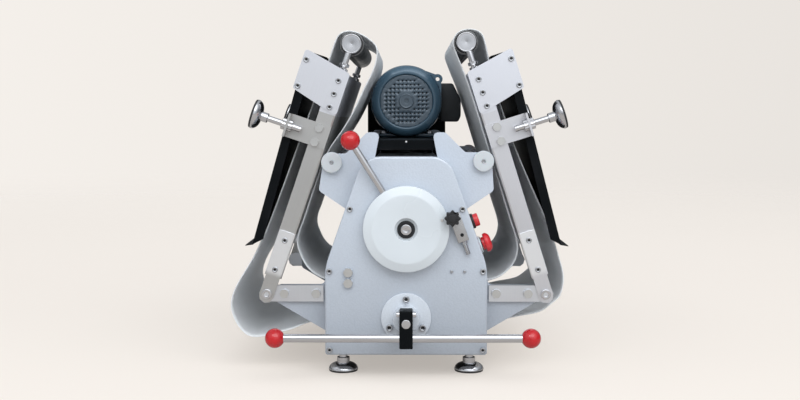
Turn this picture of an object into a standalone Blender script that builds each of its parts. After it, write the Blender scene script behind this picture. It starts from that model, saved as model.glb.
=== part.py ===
"""A tabletop dough sheeter, folded for storage, as an assembly of separate pieces.

Frame: X runs from the left conveyor to the right one, Y runs from the operator's side to the
drive side, and Z is up. The origin lies on the table, under the middle of the machine.
A conveyor's own frame starts at its pivot: "along" runs up its rail to the end roller, and
"out" runs away from the machine, square to the rail.
"""

import math

import bpy
import bmesh
from mathutils import Matrix, Vector

MM = 0.001
SEAT = 0.3 * MM
OVERRUN = 4 * MM
WELD_IN = 0.8 * MM

# Side plates and the space between them
ROLLER_FACE = 500 * MM
ROLLER_SIDE_GAP = 12 * MM
PLATE_THICK = 10 * MM
PLATE_INNER = ROLLER_FACE / 2 + ROLLER_SIDE_GAP
PLATE_OUTER = PLATE_INNER + PLATE_THICK
PLATE_FOOT_HALF = 150 * MM
PLATE_FOOT_Z = 46 * MM
GUSSET_ROOT_Z = 78 * MM
GUSSET_END_X = 253 * MM
GUSSET_LOW_Z = 139 * MM
WAIST_Z = 213 * MM
WAIST_HALF = 150 * MM
WING_ROOT_X = 114 * MM
WING_ROOT_Z = 319 * MM
WING_TIP_X = 170 * MM
WING_TIP_Z = 357 * MM
WING_BOSS = 17 * MM
HORN_OUT_X = 76 * MM
HORN_IN_X = 51 * MM
HORN_TOP_Z = 470 * MM
HORN_ROUND = 8 * MM
NOTCH_HALF = 62 * MM
NOTCH_Z = 414 * MM

# Front and rear covers
COVER_FOOT_HALF = 155.4 * MM
COVER_FOOT_Z = 43 * MM
COVER_WAIST_Z = 213 * MM
COVER_TOP_HALF = 81.6 * MM
COVER_TOP_Z = 424 * MM
COVER_TOP_ROUND = 46 * MM
COVER_WAIST_ROUND = 120 * MM
COVER_FOOT_ROUND = 5 * MM
COVER_DEPTH = 45 * MM
REAR_COVER_DEPTH = 122 * MM
COVER_SHEET = 2 * MM
COVER_EDGE_ROUND = 3 * MM
COVER_FACE = PLATE_OUTER + SEAT + COVER_DEPTH
TOWER_HALF = 93 * MM
TOWER_SHOULDER_UP = 10 * MM
TOWER_TOP_HALF = 45 * MM
TOWER_TOP_UP = 68 * MM
TOWER_ROUND = 14 * MM
TOWER_DEPTH = 80 * MM
TOWER_FOOT_Z = COVER_TOP_Z + SEAT
BASE_THICK = 2.7 * MM
BASE_HALF_X = 150 * MM

# Rollers and the height at which the dough passes
NIP_Z = 172 * MM
MAIN_RADIUS = 44 * MM
SHAFT_GAP = 0.6 * MM
REST_GAP = 18.3 * MM
LIFT_DOWN = 17.8 * MM
LIFT_UP = 16.8 * MM
LOWER_Z = NIP_Z - MAIN_RADIUS
UPPER_Z = NIP_Z + MAIN_RADIUS + REST_GAP
BELT_THICK = 2 * MM
BELT_WIDTH = ROLLER_FACE
BELT_ROLLER = 23 * MM
BELT_ROLLER_SHAFT = 8 * MM
DRIVE_X = 88 * MM
DRIVE_Z = NIP_Z - BELT_THICK - BELT_ROLLER
BEARING_THICK = 16 * MM
MAIN_BEARING_RADIUS = 32 * MM
DRIVE_BEARING_RADIUS = 21 * MM
SHAFT_END = 14 * MM
CARRIER_HALF_WIDTH = 28 * MM
CARRIER_HALF_HEIGHT = 22 * MM

# Conveyors
PIVOT_X = 270.5 * MM
PIVOT_Z = 157 * MM
LEAN_LEFT = math.radians(18.8)
LEAN_RIGHT = math.radians(17.6)
REACH = 511 * MM
RAIL_HALF = 17 * MM
RAIL_START = 35 * MM
BED_START = 114 * MM
RAIL_SHORT = 59 * MM
RAIL_END = REACH - RAIL_SHORT
BED_SHEET = 2 * MM
BED_BEND = 4 * MM
BAR_THICK = 8 * MM
BAR_HALF = 16 * MM
BAR_INNER_X = 161 * MM
BAR_FACE = PLATE_OUTER + SEAT + BAR_THICK
ARM_THICK = 5 * MM
ARM_HALF = 14 * MM
ARM_START = -18 * MM
ARM_END = 127 * MM
ARM_SCREW_SHARES = (0.394, 0.866)
TRAY_SHEET = 1.5 * MM
TRAY_OVER = 18 * MM
TRAY_TOP_ALONG = RAIL_END + TRAY_OVER
TRAY_TOP_OUT = 77 * MM
TRAY_LIP_OUT = 36 * MM
TRAY_FOOT_ALONG = 82 * MM
TRAY_FOOT_OUT = 57 * MM
TRAY_TOE = 13 * MM
TRAY_SIDE = 16 * MM
BRACKET_THICK = 3 * MM
BRACKET_IN = -RAIL_HALF
BRACKET_OUT = 79 * MM
BRACKET_DROP = 83 * MM
BRACKET_LENGTH_IN = 86 * MM
BRACKET_SLANT = 25 * MM
BRACKET_LENGTH_OUT = 80 * MM
BRACKET_LOW_IN = RAIL_END - BRACKET_DROP
BRACKET_HIGH_IN = BRACKET_LOW_IN + BRACKET_LENGTH_IN
BRACKET_LOW_OUT = BRACKET_LOW_IN + BRACKET_SLANT
BRACKET_HIGH_OUT = BRACKET_LOW_OUT + BRACKET_LENGTH_OUT
BRACKET_RAIL_SCREW_SHARES = (0.15, 0.46, 0.77)
BRACKET_TRAY_SCREW_SHARES = (0.09, 0.75)
BRACKET_TRAY_SCREW_OUT = 71 * MM
FOOT_PLATE_DROP = 151 * MM
FOOT_PLATE_LENGTH = 46 * MM
FOOT_PLATE_LOW = RAIL_END - FOOT_PLATE_DROP
FOOT_PLATE_HIGH = FOOT_PLATE_LOW + FOOT_PLATE_LENGTH
FOOT_PLATE_IN = -16 * MM
FOOT_PLATE_OUT = 67 * MM
FOOT_PLATE_FLANGE = 30 * MM
FOOT_BOLT_SHARES = (0.18, 0.80)
FOOT_BOLT_OUT = 6 * MM
FOOT_BOLT_FLAT = 7.5 * MM
FOOT_AXIS_ALONG = (FOOT_PLATE_LOW + FOOT_PLATE_HIGH) / 2
FOOT_AXIS_FORWARD = 17 * MM
FOOT_STUD = 6 * MM
FOOT_STUD_IN = 37 * MM
FOOT_FACE_OUT = 134 * MM
FOOT_DISC = 28.5 * MM
FOOT_HEIGHT = 30 * MM
NUT_FLAT = 9.5 * MM
NUT_THICK = 9 * MM
EYE_RADIUS = 19.5 * MM
EYE_THICK = 12 * MM
EYE_STEM = 6 * MM

# The resting discs that the folded left conveyor leans on
DISC_RADIUS = 20.2 * MM
DISC_THICK = 12 * MM
DISC_ALONG = 282 * MM
CROSS_BAR = 8 * MM

# Thickness dial and its lever
DIAL_Z = 287.6 * MM
DIAL_RADIUS = 82 * MM
DIAL_FACE_RADIUS = 66 * MM
DIAL_RIM = 21 * MM
DIAL_HEIGHT = 27 * MM
DIAL_GAP = 1 * MM
DIAL_WASHER = 17 * MM
DIAL_RECESS = 21.5 * MM
DIAL_RECESS_DEPTH = 6 * MM
DIAL_SHAFT = 10 * MM
DIAL_ROD = 6.5 * MM
DIAL_ROD_ROOT = 11 * MM
DIAL_BALL_REACH = 198 * MM
DIAL_BALL_HEIGHT = 23 * MM
DIAL_ANGLE = math.radians(122)
BALL_RADIUS = 18.5 * MM
BALL_NECK = 9 * MM

# Reversing lever
LEVER_Z = 116 * MM
FLANGE_RADIUS = 48 * MM
FLANGE_THICK = 6 * MM
HUB_RADIUS = 25 * MM
HUB_LENGTH = 27 * MM
LEVER_SHAFT = 8.5 * MM
BLOCK_HALF = 12.5 * MM
BLOCK_TOP_Z = 140 * MM
BLOCK_LOW_Z = 69 * MM
BLOCK_DEPTH = 42 * MM
LEVER_ROD = 8 * MM
LEVER_ROD_Z = 86 * MM
LEVER_BALL_X = 240 * MM
LEVER_SHIFT = -6 * MM
CLAMP_RISE = 15 * MM

# Gap stop with its star knob
STOP_LENGTH = 56 * MM
STOP_WIDTH = 22 * MM
STOP_THICK = 13 * MM
STOP_AWAY = 18 * MM
STOP_RISE = 2.4 * MM
STOP_X = DIAL_RADIUS + STOP_AWAY
STOP_Z = DIAL_Z + STOP_RISE
STOP_TILT = math.radians(20)
STAR_IN = 13 * MM
STAR_RISE = 20 * MM
STAR_X = STOP_X - STAR_IN
STAR_Z = STOP_Z + STAR_RISE
STAR_RADIUS = 15.5 * MM
LOBE_COUNT = 8
STAR_THICK = 14 * MM
STAR_STEM = 4.5 * MM
STAR_STEM_LENGTH = 18 * MM
STAR_LOBE_DEPTH = 1.6 * MM
STUD_RADIUS = 4.5 * MM
STUD_LENGTH = 26 * MM

# Push buttons on the slanted side of the front cover
BUTTON_Y = PLATE_OUTER + SEAT + COVER_DEPTH / 2
START_Z = 299 * MM
STOP_BUTTON_Z = 254 * MM
BEZEL_RADIUS = 14.5 * MM
BEZEL_THICK = 5 * MM
BUTTON_STEM = 6 * MM
BUTTON_BORE = 8 * MM
BUTTON_STEM_LENGTH = 16 * MM
START_RADIUS = 12.5 * MM
START_HEIGHT = 9 * MM
START_TRAVEL = 4 * MM
MUSHROOM_RADIUS = 18.5 * MM
MUSHROOM_HEIGHT = 13 * MM
MUSHROOM_TRAVEL = 5 * MM
BUTTON_TRAVEL_GAP = 1 * MM

# Motor and the bridge that it stands on
BRIDGE_HALF = 68 * MM
BRIDGE_LAP = 6 * MM
BRIDGE_RISE = 37 * MM
BRIDGE_SHEET = 5 * MM
BRIDGE_LIP_DROP = 19 * MM
BRIDGE_LOW_Z = COVER_TOP_Z - BRIDGE_LAP
BRIDGE_TOP_Z = BRIDGE_LOW_Z + BRIDGE_RISE
BRIDGE_LIP_Z = BRIDGE_TOP_Z - BRIDGE_LIP_DROP
MOTOR_FACE_Y = 10 * MM
FAN_COVER_RADIUS = 78.5 * MM
# The fan cover hangs just clear of the bridge that the motor stands on
MOTOR_CLEAR = 1.5 * MM
MOTOR_Z = BRIDGE_TOP_Z + FAN_COVER_RADIUS + MOTOR_CLEAR
FAN_COVER_LENGTH = 72 * MM
FAN_COVER_SHEET = 2 * MM
GRILLE_RADIUS = 58 * MM
GRILLE_PITCH = 13.5 * MM
GRILLE_HOLE = 3 * MM
GRILLE_HUB = 15 * MM
GRILLE_SINK = 3 * MM
FAN_COVER_EDGE = 9 * MM
FAN_COVER_TURN = 14 * MM
FAN_RADIUS = 62 * MM
FAN_HUB = 16 * MM
FAN_DEPTH = 24 * MM
FAN_GAP = 8 * MM
BLADE_COUNT = 8
FAN_BLADE_THICK = 3 * MM
LUG_X = 68 * MM
LUG_UP = 48 * MM
LUG_ROUND = 11 * MM
LUG_HOLE = 4.5 * MM
LUG_THICK = 14 * MM
PULLEY_RADIUS = 36 * MM
PULLEY_GROOVE = 7 * MM
PULLEY_WIDTH = 20 * MM
PULLEY_OFFSET = 16 * MM
STATOR_RADIUS = 66 * MM
STATOR_LENGTH = 128 * MM
FIN_COUNT = 24
FIN_HEIGHT = 8 * MM
SHIELD_LENGTH = 34 * MM
MOTOR_SHAFT = 9.5 * MM
MOTOR_FOOT_HALF = 62 * MM
MOTOR_FOOT_THICK = 9 * MM
MOTOR_FOOT_WIDTH = 26 * MM
RING_LAP = 9 * MM
BOX_OUT_X = 122 * MM
BOX_DROP = 45 * MM
BOX_RISE = 41 * MM
BOX_LOW_Z = MOTOR_Z - BOX_DROP
BOX_HIGH_Z = MOTOR_Z + BOX_RISE
BOX_LENGTH = 92 * MM

# Table feet
FEET_X = 124 * MM
FEET_IN = 7 * MM
FEET_Y = PLATE_INNER - FEET_IN
TABLE_FOOT_DISC = 29 * MM
TABLE_FOOT_HEIGHT = 27 * MM
TABLE_FOOT_STEM = 8 * MM

# Screws and bolts
WELD = 0.01 * MM
RIM_SHARE = 0.3
SCREW_HEAD = 5 * MM
SCREW_HEIGHT = 3.5 * MM
BOLT_FLAT = 8.5 * MM
BOLT_HEIGHT = 6.5 * MM
FLANGE_SCREW = 6.5 * MM
FLANGE_SCREW_CIRCLE = 36.5 * MM

FINE_COUNT = 36
ROUND_COUNT = 18
SMALL_COUNT = 10
TINY_COUNT = 6
DOME_COUNT = 3
BALL_COUNT = 16
RING_COUNT = 8
SIDES = (-1, 1)


def clear_scene():
    """Removes whatever the file held, so that a rerun starts clean."""
    for obj in list(bpy.data.objects):
        bpy.data.objects.remove(obj)


def make_collection(name):
    """A collection linked to the scene, or the one that is there already."""
    found = bpy.data.collections.get(name)
    if found is None:
        found = bpy.data.collections.new(name)
        bpy.context.scene.collection.children.link(found)
    return found


def material(name, colour, roughness, metallic=0.0):
    """A Principled material in one colour."""
    made = bpy.data.materials.get(name) or bpy.data.materials.new(name)
    made.use_nodes = True
    shader = made.node_tree.nodes["Principled BSDF"]
    shader.inputs["Base Color"].default_value = (*colour, 1.0)
    shader.inputs["Roughness"].default_value = roughness
    shader.inputs["Metallic"].default_value = metallic
    return made


clear_scene()
PARTS = make_collection("dough_sheeter")

PAINT = material("hammered_grey_paint", (0.66, 0.69, 0.76), 0.38, 0.25)
WHITE_PAINT = material("white_enamel", (0.80, 0.84, 0.88), 0.3)
NYLON = material("white_nylon", (0.85, 0.88, 0.90), 0.5)
STEEL = material("brushed_stainless", (0.62, 0.62, 0.61), 0.3, 1.0)
BRIGHT_STEEL = material("polished_steel", (0.75, 0.75, 0.77), 0.15, 1.0)
DARK_STEEL = material("dark_sheet_steel", (0.05, 0.05, 0.055), 0.35, 0.6)
BLACK_PAINT = material("black_paint", (0.02, 0.02, 0.022), 0.4)
BLACK_PLASTIC = material("black_plastic", (0.02, 0.02, 0.02), 0.35)
RED_PLASTIC = material("red_phenolic", (0.62, 0.02, 0.03), 0.15)
BUTTON_RED = material("button_red", (0.70, 0.02, 0.04), 0.3)
MOTOR_BLUE = material("motor_blue_enamel", (0.06, 0.13, 0.20), 0.35)
BELT_FABRIC = material("white_belt", (0.72, 0.74, 0.75), 0.6)


def placed(obj, look, parent=None):
    """Puts an object with the parts, gives it its material and, at need, a parent."""
    for collection in obj.users_collection:
        collection.objects.unlink(obj)
    PARTS.objects.link(obj)
    obj.data.materials.clear()
    obj.data.materials.append(look)
    if parent is not None:
        obj.parent = parent
    return obj


def from_bmesh(name, shape):
    """An object in the scene that holds this bmesh."""
    mesh = bpy.data.meshes.new(name)
    shape.to_mesh(mesh)
    shape.free()
    obj = bpy.data.objects.new(name, mesh)
    bpy.context.scene.collection.objects.link(obj)
    return obj


def smooth(obj, angle=40.0):
    """Shades a mesh smooth, with hard edges where faces meet at more than this angle."""
    obj.data.shade_smooth()
    obj.data.set_sharp_from_angle(angle=math.radians(angle))
    return obj


def along_axis(axis):
    """The rotation that turns +Z to this direction."""
    return Vector(axis).normalized().to_track_quat("Z", "Y").to_matrix().to_4x4()


def add_cylinder(shape, start, end, radius, steps=ROUND_COUNT, end_radius=None):
    """Adds a capped cylinder or cone between two points to a bmesh."""
    start, end = Vector(start), Vector(end)
    middle = Matrix.Translation((start + end) / 2) @ along_axis(end - start)
    bmesh.ops.create_cone(
        shape,
        cap_ends=True,
        segments=steps,
        radius1=radius,
        radius2=radius if end_radius is None else end_radius,
        depth=(end - start).length,
        matrix=middle,
    )


def add_box(shape, low, high):
    """Adds a box between two corners to a bmesh."""
    low, high = Vector(low), Vector(high)
    size = Matrix.Diagonal((*(high - low), 1))
    bmesh.ops.create_cube(shape, size=1, matrix=Matrix.Translation((low + high) / 2) @ size)


def cylinder(name, start, end, radius, steps=ROUND_COUNT):
    """A capped cylinder between two points."""
    shape = bmesh.new()
    add_cylinder(shape, start, end, radius, steps)
    return smooth(from_bmesh(name, shape))


def box(name, low, high, edge=0.0):
    """A box between two corners, with its edges rounded where a radius is given."""
    shape = bmesh.new()
    add_box(shape, low, high)
    if edge:
        bmesh.ops.bevel(
            shape, geom=shape.edges[:], offset=edge, segments=2, affect="EDGES", profile=0.5
        )
    return from_bmesh(name, shape)


def flat_outline(name, outlines, thickness):
    """A flat piece from closed outlines in (x, z), centred on y = 0. Inner outlines are holes."""
    curve = bpy.data.curves.new(name, "CURVE")
    curve.dimensions = "2D"
    curve.fill_mode = "BOTH"
    curve.extrude = thickness / 2
    for outline in outlines:
        spline = curve.splines.new("POLY")
        spline.points.add(len(outline) - 1)
        for point, (x, z) in zip(spline.points, outline):
            point.co = (x, z, 0, 1)
        spline.use_cyclic_u = True
    obj = bpy.data.objects.new(name, curve)
    bpy.context.scene.collection.objects.link(obj)
    obj.rotation_euler = (math.pi / 2, 0, 0)
    return obj


def plate(name, outlines, y_low, y_high):
    """A flat piece from outlines in (x, z), between two values of y, as a mesh."""
    obj = flat_outline(name, outlines, y_high - y_low)
    obj.location.y = (y_low + y_high) / 2
    return as_mesh(obj)


def as_mesh(obj):
    """A mesh object in place of a curve object, with its caps welded to its sides."""
    bpy.context.view_layer.update()
    graph = bpy.context.evaluated_depsgraph_get()
    mesh = bpy.data.meshes.new_from_object(obj.evaluated_get(graph))
    matrix = obj.matrix_world.copy()
    name = obj.name
    bpy.data.objects.remove(obj)
    shape = bmesh.new()
    shape.from_mesh(mesh)
    bmesh.ops.remove_doubles(shape, verts=shape.verts[:], dist=WELD)
    shape.transform(matrix)
    bmesh.ops.recalc_face_normals(shape, faces=shape.faces[:])
    shape.to_mesh(mesh)
    shape.free()
    made = bpy.data.objects.new(name, mesh)
    bpy.context.scene.collection.objects.link(made)
    return made


def circle(x, z, radius, steps=SMALL_COUNT, turn=0.0):
    """A closed outline round a centre."""
    angles = [turn + math.tau * i / steps for i in range(steps)]
    return [(x + radius * math.cos(a), z + radius * math.sin(a)) for a in angles]


def rounded(points, steps=2):
    """An outline from (x, z, radius) corners, each rounded by an arc of its radius."""
    outline = []
    count = len(points)
    for i, (x, z, radius) in enumerate(points):
        corner = Vector((x, z))
        if not radius:
            outline.append(tuple(corner))
            continue
        before = (Vector(points[i - 1][:2]) - corner).normalized()
        after = (Vector(points[(i + 1) % count][:2]) - corner).normalized()
        half = before.angle(after) / 2
        centre = corner + (before + after).normalized() * (radius / math.sin(half))
        first = corner + before * (radius / math.tan(half)) - centre
        last = corner + after * (radius / math.tan(half)) - centre
        turn = first.angle_signed(last)
        for step in range(steps + 1):
            arm = first.copy()
            arm.rotate(Matrix.Rotation(-turn * step / steps, 2))
            outline.append(tuple(centre + arm))
    return outline


def bore(radius, steps=SMALL_COUNT, gap=SEAT):
    """The radius of a faceted hole whose flats clear a round piece by the gap."""
    return (radius + gap) / math.cos(math.pi / steps)


def turned(name, profile, start, axis, steps=ROUND_COUNT, closed=False):
    """A turned piece: its profile in (radius, height) runs from its top down its outer side.

    The profile turns about an axis through start. A closed profile makes a ring.
    """
    shape = bmesh.new()
    points = [shape.verts.new((radius, 0, height)) for radius, height in profile]
    for one, two in zip(points, points[1:]):
        shape.edges.new((one, two))
    if closed:
        shape.edges.new((points[-1], points[0]))
    obj = from_bmesh(name, shape)
    screw = obj.modifiers.new("turn", "SCREW")
    screw.axis = "Z"
    screw.angle = math.tau
    screw.steps = steps
    screw.render_steps = steps
    screw.use_merge_vertices = True
    screw.merge_threshold = WELD
    screw.use_smooth_shade = True
    bpy.context.view_layer.update()
    graph = bpy.context.evaluated_depsgraph_get()
    mesh = bpy.data.meshes.new_from_object(obj.evaluated_get(graph))
    bpy.data.objects.remove(obj)
    made = bpy.data.objects.new(name, mesh)
    bpy.context.scene.collection.objects.link(made)
    mesh.transform(Matrix.Translation(start) @ along_axis(axis))
    return smooth(made)


def shaft_profile(lengths_and_radii):
    """A stepped shaft's profile from (from height, to height, radius), highest first."""
    top, low = lengths_and_radii[0][1], lengths_and_radii[-1][0]
    profile = [(0, top)]
    for start, end, radius in lengths_and_radii:
        profile += [(radius, end), (radius, start)]
    return profile + [(0, low)]


def boolean(obj, other, operation="DIFFERENCE"):
    """Cuts or joins another closed mesh, and applies the result."""
    modifier = obj.modifiers.new(operation.lower(), "BOOLEAN")
    modifier.operation = operation
    modifier.object = other
    bpy.context.view_layer.update()
    graph = bpy.context.evaluated_depsgraph_get()
    mesh = bpy.data.meshes.new_from_object(obj.evaluated_get(graph))
    obj.modifiers.clear()
    shape = bmesh.new()
    shape.from_mesh(mesh)
    bmesh.ops.remove_doubles(shape, verts=shape.verts[:], dist=WELD / 2)
    shape.to_mesh(mesh)
    shape.free()
    obj.data = mesh
    bpy.data.objects.remove(other)
    return obj


def united(name, shapes):
    """One solid from several overlapping objects."""
    first = shapes[0]
    first.name = name
    for other in shapes[1:]:
        boolean(first, other, "UNION")
    return smooth(first)


def several(name, shapes):
    """One helper that holds several separate solids, such as a set of screws or holes."""
    joined = bmesh.new()
    for obj in shapes:
        copy = obj.data.copy()
        copy.transform(obj.matrix_world)
        joined.from_mesh(copy)
        bpy.data.objects.remove(obj)
    return smooth(from_bmesh(name, joined))


def fastened(obj, small_pieces):
    """Joins a set of small pieces, such as screws, to the piece that carries them."""
    return smooth(boolean(obj, several(obj.name + "_small_pieces", small_pieces), "UNION"))


def hexagon_head(name, start, axis, flat, height):
    """A hexagonal bolt head or nut, measured across its flats."""
    end = Vector(start) + Vector(axis).normalized() * height
    corner = flat / math.cos(math.pi / 6)
    return cylinder(name, start, end, corner, 6)


def cap_screw(name, start, axis, radius=SCREW_HEAD, height=SCREW_HEIGHT):
    """A round screw head standing on a face."""
    end = Vector(start) + Vector(axis).normalized() * height
    return cylinder(name, start, end, radius, TINY_COUNT)


def moved(obj, place):
    """Turns or shifts a mesh itself, so that its object keeps its origin."""
    obj.data.transform(place)
    return obj


def smooth_path(points, spans):
    """A closed smooth path through (x, z) points, with this many steps between each two."""
    count = len(points)
    path = []
    for i in range(count):
        before, start, end, after = (Vector(points[(i + k - 1) % count]) for k in range(4))
        chord = (end - start).length
        leave = (end - before) * (chord / (chord + (start - before).length))
        arrive = (after - start) * (chord / (chord + (after - end).length))
        for step in range(spans):
            t = step / spans
            weights = (
                2 * t**3 - 3 * t**2 + 1,
                t**3 - 2 * t**2 + t,
                3 * t**2 - 2 * t**3,
                t**3 - t**2,
            )
            path.append(
                tuple(weights[0] * start + weights[1] * leave + weights[2] * end
                      + weights[3] * arrive)
            )
    return path


def band(path, thickness):
    """The outer and inner outlines of a band of even thickness along a closed path."""
    outer, inner = [], []
    count = len(path)
    for i, point in enumerate(path):
        tangent = (Vector(path[(i + 1) % count]) - Vector(path[i - 1])).normalized()
        side = Vector((tangent.y, -tangent.x)) * thickness / 2
        outer.append(tuple(Vector(point) + side))
        inner.append(tuple(Vector(point) - side))
    return outer, inner


def holed(obj, holes):
    """Cuts a set of separate helper solids out of a mesh in one step."""
    return boolean(obj, several(obj.name + "_holes", holes))


def ball(name, centre, radius):
    """A knob ball."""
    shape = bmesh.new()
    bmesh.ops.create_uvsphere(
        shape, u_segments=BALL_COUNT, v_segments=RING_COUNT, radius=radius,
        matrix=Matrix.Translation(centre),
    )
    return smooth(from_bmesh(name, shape), 60.0)


def sheet_along(name, outline, thickness, half_width, offset=0.0):
    """A bent sheet from an open (x, z) outline, made square to it across the whole width."""
    shape = bmesh.new()
    near = [shape.verts.new((x, -half_width, z)) for x, z in outline]
    for one, two in zip(near, near[1:]):
        shape.edges.new((one, two))
    swept = bmesh.ops.extrude_edge_only(shape, edges=shape.edges[:])
    moved_points = [v for v in swept["geom"] if isinstance(v, bmesh.types.BMVert)]
    bmesh.ops.translate(shape, verts=moved_points, vec=(0, 2 * half_width, 0))
    obj = from_bmesh(name, shape)
    solid = obj.modifiers.new("thickness", "SOLIDIFY")
    solid.thickness = thickness
    solid.offset = offset
    solid.use_even_offset = True
    bpy.context.view_layer.update()
    graph = bpy.context.evaluated_depsgraph_get()
    mesh = bpy.data.meshes.new_from_object(obj.evaluated_get(graph))
    obj.modifiers.clear()
    obj.data = mesh
    shape = bmesh.new()
    shape.from_mesh(mesh)
    bmesh.ops.recalc_face_normals(shape, faces=shape.faces[:])
    shape.to_mesh(mesh)
    shape.free()
    return smooth(obj)


def inset(outline, depth):
    """An outline moved inwards by an even depth. The outline runs anticlockwise."""
    count = len(outline)
    result = []
    for i, point in enumerate(outline):
        one = (Vector(point) - Vector(outline[i - 1])).normalized()
        two = (Vector(outline[(i + 1) % count]) - Vector(point)).normalized()
        side = Vector((-one.y - two.y, one.x + two.x)).normalized()
        reach = depth / max(side.dot(Vector((-one.y, one.x))), RIM_SHARE)
        result.append(tuple(Vector(point) + side * reach))
    return result


# Where the machine's middle plane lies, so that the origin is under the middle of its outline
MIDDLE_X = 15 * MM
MACHINE = bpy.data.objects.new("machine", None)
PARTS.objects.link(MACHINE)
MACHINE.location = (MIDDLE_X, 0, 0)


def empty(name, place, turn=0.0, parent=MACHINE):
    """A joint's axis, turned about Y."""
    axis = bpy.data.objects.new(name, None)
    PARTS.objects.link(axis)
    axis.parent = parent
    axis.location = place
    axis.rotation_euler = (0, turn, 0)
    return axis


LEANS = {-1: LEAN_LEFT, 1: LEAN_RIGHT}
SIDE_NAMES = {-1: "left", 1: "right"}


def in_machine(side, along, out):
    """A point in a conveyor's frame, as machine (x, z), when it is folded up."""
    lean = LEANS[side]
    x = PIVOT_X - math.sin(lean) * along + math.cos(lean) * out
    z = PIVOT_Z + math.cos(lean) * along + math.sin(lean) * out
    return side * x, z


DISC_OUT = -RAIL_HALF - SEAT - DISC_RADIUS
DISC_SPOTS = {side: in_machine(side, DISC_ALONG, DISC_OUT) for side in SIDES}

# Side plates


def plate_side(side):
    """Half of a side plate's outline, from the bottom middle up to the notch."""
    disc_x, disc_z = abs(DISC_SPOTS[side][0]), DISC_SPOTS[side][1]
    points = [
        (PLATE_FOOT_HALF, PLATE_FOOT_Z, HORN_ROUND),
        (PLATE_FOOT_HALF, GUSSET_ROOT_Z, HORN_ROUND),
        (GUSSET_END_X, GUSSET_LOW_Z, HORN_ROUND),
        (GUSSET_END_X, PIVOT_Z + BAR_HALF, HORN_ROUND),
        (BAR_INNER_X, PIVOT_Z + BAR_HALF, HORN_ROUND),
        (WAIST_HALF, WAIST_Z, HORN_ROUND),
        (WING_ROOT_X, WING_ROOT_Z, HORN_ROUND),
        (WING_TIP_X, WING_TIP_Z, HORN_ROUND),
        (disc_x + WING_BOSS, disc_z, WING_BOSS),
        (disc_x, disc_z + WING_BOSS, WING_BOSS),
        (HORN_OUT_X + HORN_TOP_Z - disc_z - WING_BOSS, disc_z + WING_BOSS, HORN_ROUND),
        (HORN_OUT_X, HORN_TOP_Z, HORN_ROUND),
        (HORN_IN_X, HORN_TOP_Z, HORN_ROUND),
        (NOTCH_HALF, NOTCH_Z, 0),
    ]
    return points


def plate_outline():
    """A side plate's whole outline, right half first."""
    right = plate_side(1)
    left = [(-x, z, r) for x, z, r in reversed(plate_side(-1))]
    return rounded(right + left)


WINDOW_HALF = CARRIER_HALF_WIDTH + SEAT
WINDOW_LOW_Z = UPPER_Z - CARRIER_HALF_HEIGHT - LIFT_DOWN - SEAT
WINDOW_HIGH_Z = UPPER_Z + CARRIER_HALF_HEIGHT + LIFT_UP + SEAT
WINDOW = [
    (-WINDOW_HALF, WINDOW_LOW_Z),
    (WINDOW_HALF, WINDOW_LOW_Z),
    (WINDOW_HALF, WINDOW_HIGH_Z),
    (-WINDOW_HALF, WINDOW_HIGH_Z),
]
SHAFT_HOLES = [
    circle(0, LOWER_Z, bore(SHAFT_END, ROUND_COUNT, SHAFT_GAP), ROUND_COUNT),
    circle(-DRIVE_X, DRIVE_Z, bore(BELT_ROLLER_SHAFT, gap=SHAFT_GAP)),
    circle(DRIVE_X, DRIVE_Z, bore(BELT_ROLLER_SHAFT, gap=SHAFT_GAP)),
]
MOTOR_HOLE_RADIUS = MOTOR_SHAFT * 2

ROD_HOLES = [circle(*DISC_SPOTS[side], bore(CROSS_BAR)) for side in SIDES]


def bearing(x, z, radius, shaft, face):
    """A flanged bearing on a side plate's outer face."""
    ring = [
        (bore(shaft, ROUND_COUNT), BEARING_THICK),
        (radius, BEARING_THICK),
        (radius, -WELD_IN),
        (bore(shaft, ROUND_COUNT), -WELD_IN),
    ]
    return turned("bearing", ring, (x, face * PLATE_OUTER, z), (0, face, 0), ROUND_COUNT, True)


for name, face in (("side_plate_front", -1), ("side_plate_rear", 1)):
    low, high = sorted((face * PLATE_INNER, face * PLATE_OUTER))
    made = plate(name, [plate_outline(), WINDOW, *SHAFT_HOLES, *ROD_HOLES], low, high)
    bearings = [bearing(0, LOWER_Z, MAIN_BEARING_RADIUS, SHAFT_END, face)]
    bearings += [
        bearing(side * DRIVE_X, DRIVE_Z, DRIVE_BEARING_RADIUS, BELT_ROLLER_SHAFT, face)
        for side in SIDES
    ]
    placed(fastened(made, bearings), PAINT, MACHINE)

# The pan between the plates, the rods that tie them, and the feet
pan = box(
    "base_pan",
    (-BASE_HALF_X, -PLATE_OUTER, COVER_FOOT_Z),
    (BASE_HALF_X, PLATE_OUTER, COVER_FOOT_Z + BASE_THICK),
)
placed(pan, DARK_STEEL, MACHINE)
FOOT_SPOTS = {
    side_name + "_" + face_name: (x * FEET_X, y * FEET_Y)
    for x, side_name in ((-1, "left"), (1, "right"))
    for y, face_name in ((-1, "front"), (1, "rear"))
}
SOLE_SHARE = 0.12
DOME_SHARE = 0.5
NECK_SHARE = 1.6


def foot_dome(radius, height, stem, sole):
    """The profile of a bell-shaped foot, from the top of its neck down to its sole."""
    rise = height - sole
    neck = stem * NECK_SHARE
    steps = DOME_COUNT
    curve = [
        (
            neck + (radius - neck) * math.sin(math.pi / 2 * i / steps),
            sole + rise * DOME_SHARE * math.cos(math.pi / 2 * i / steps),
        )
        for i in range(steps + 1)
    ]
    return [(0, height), (neck, height)] + curve + [(radius, 0), (0, 0)]


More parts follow.
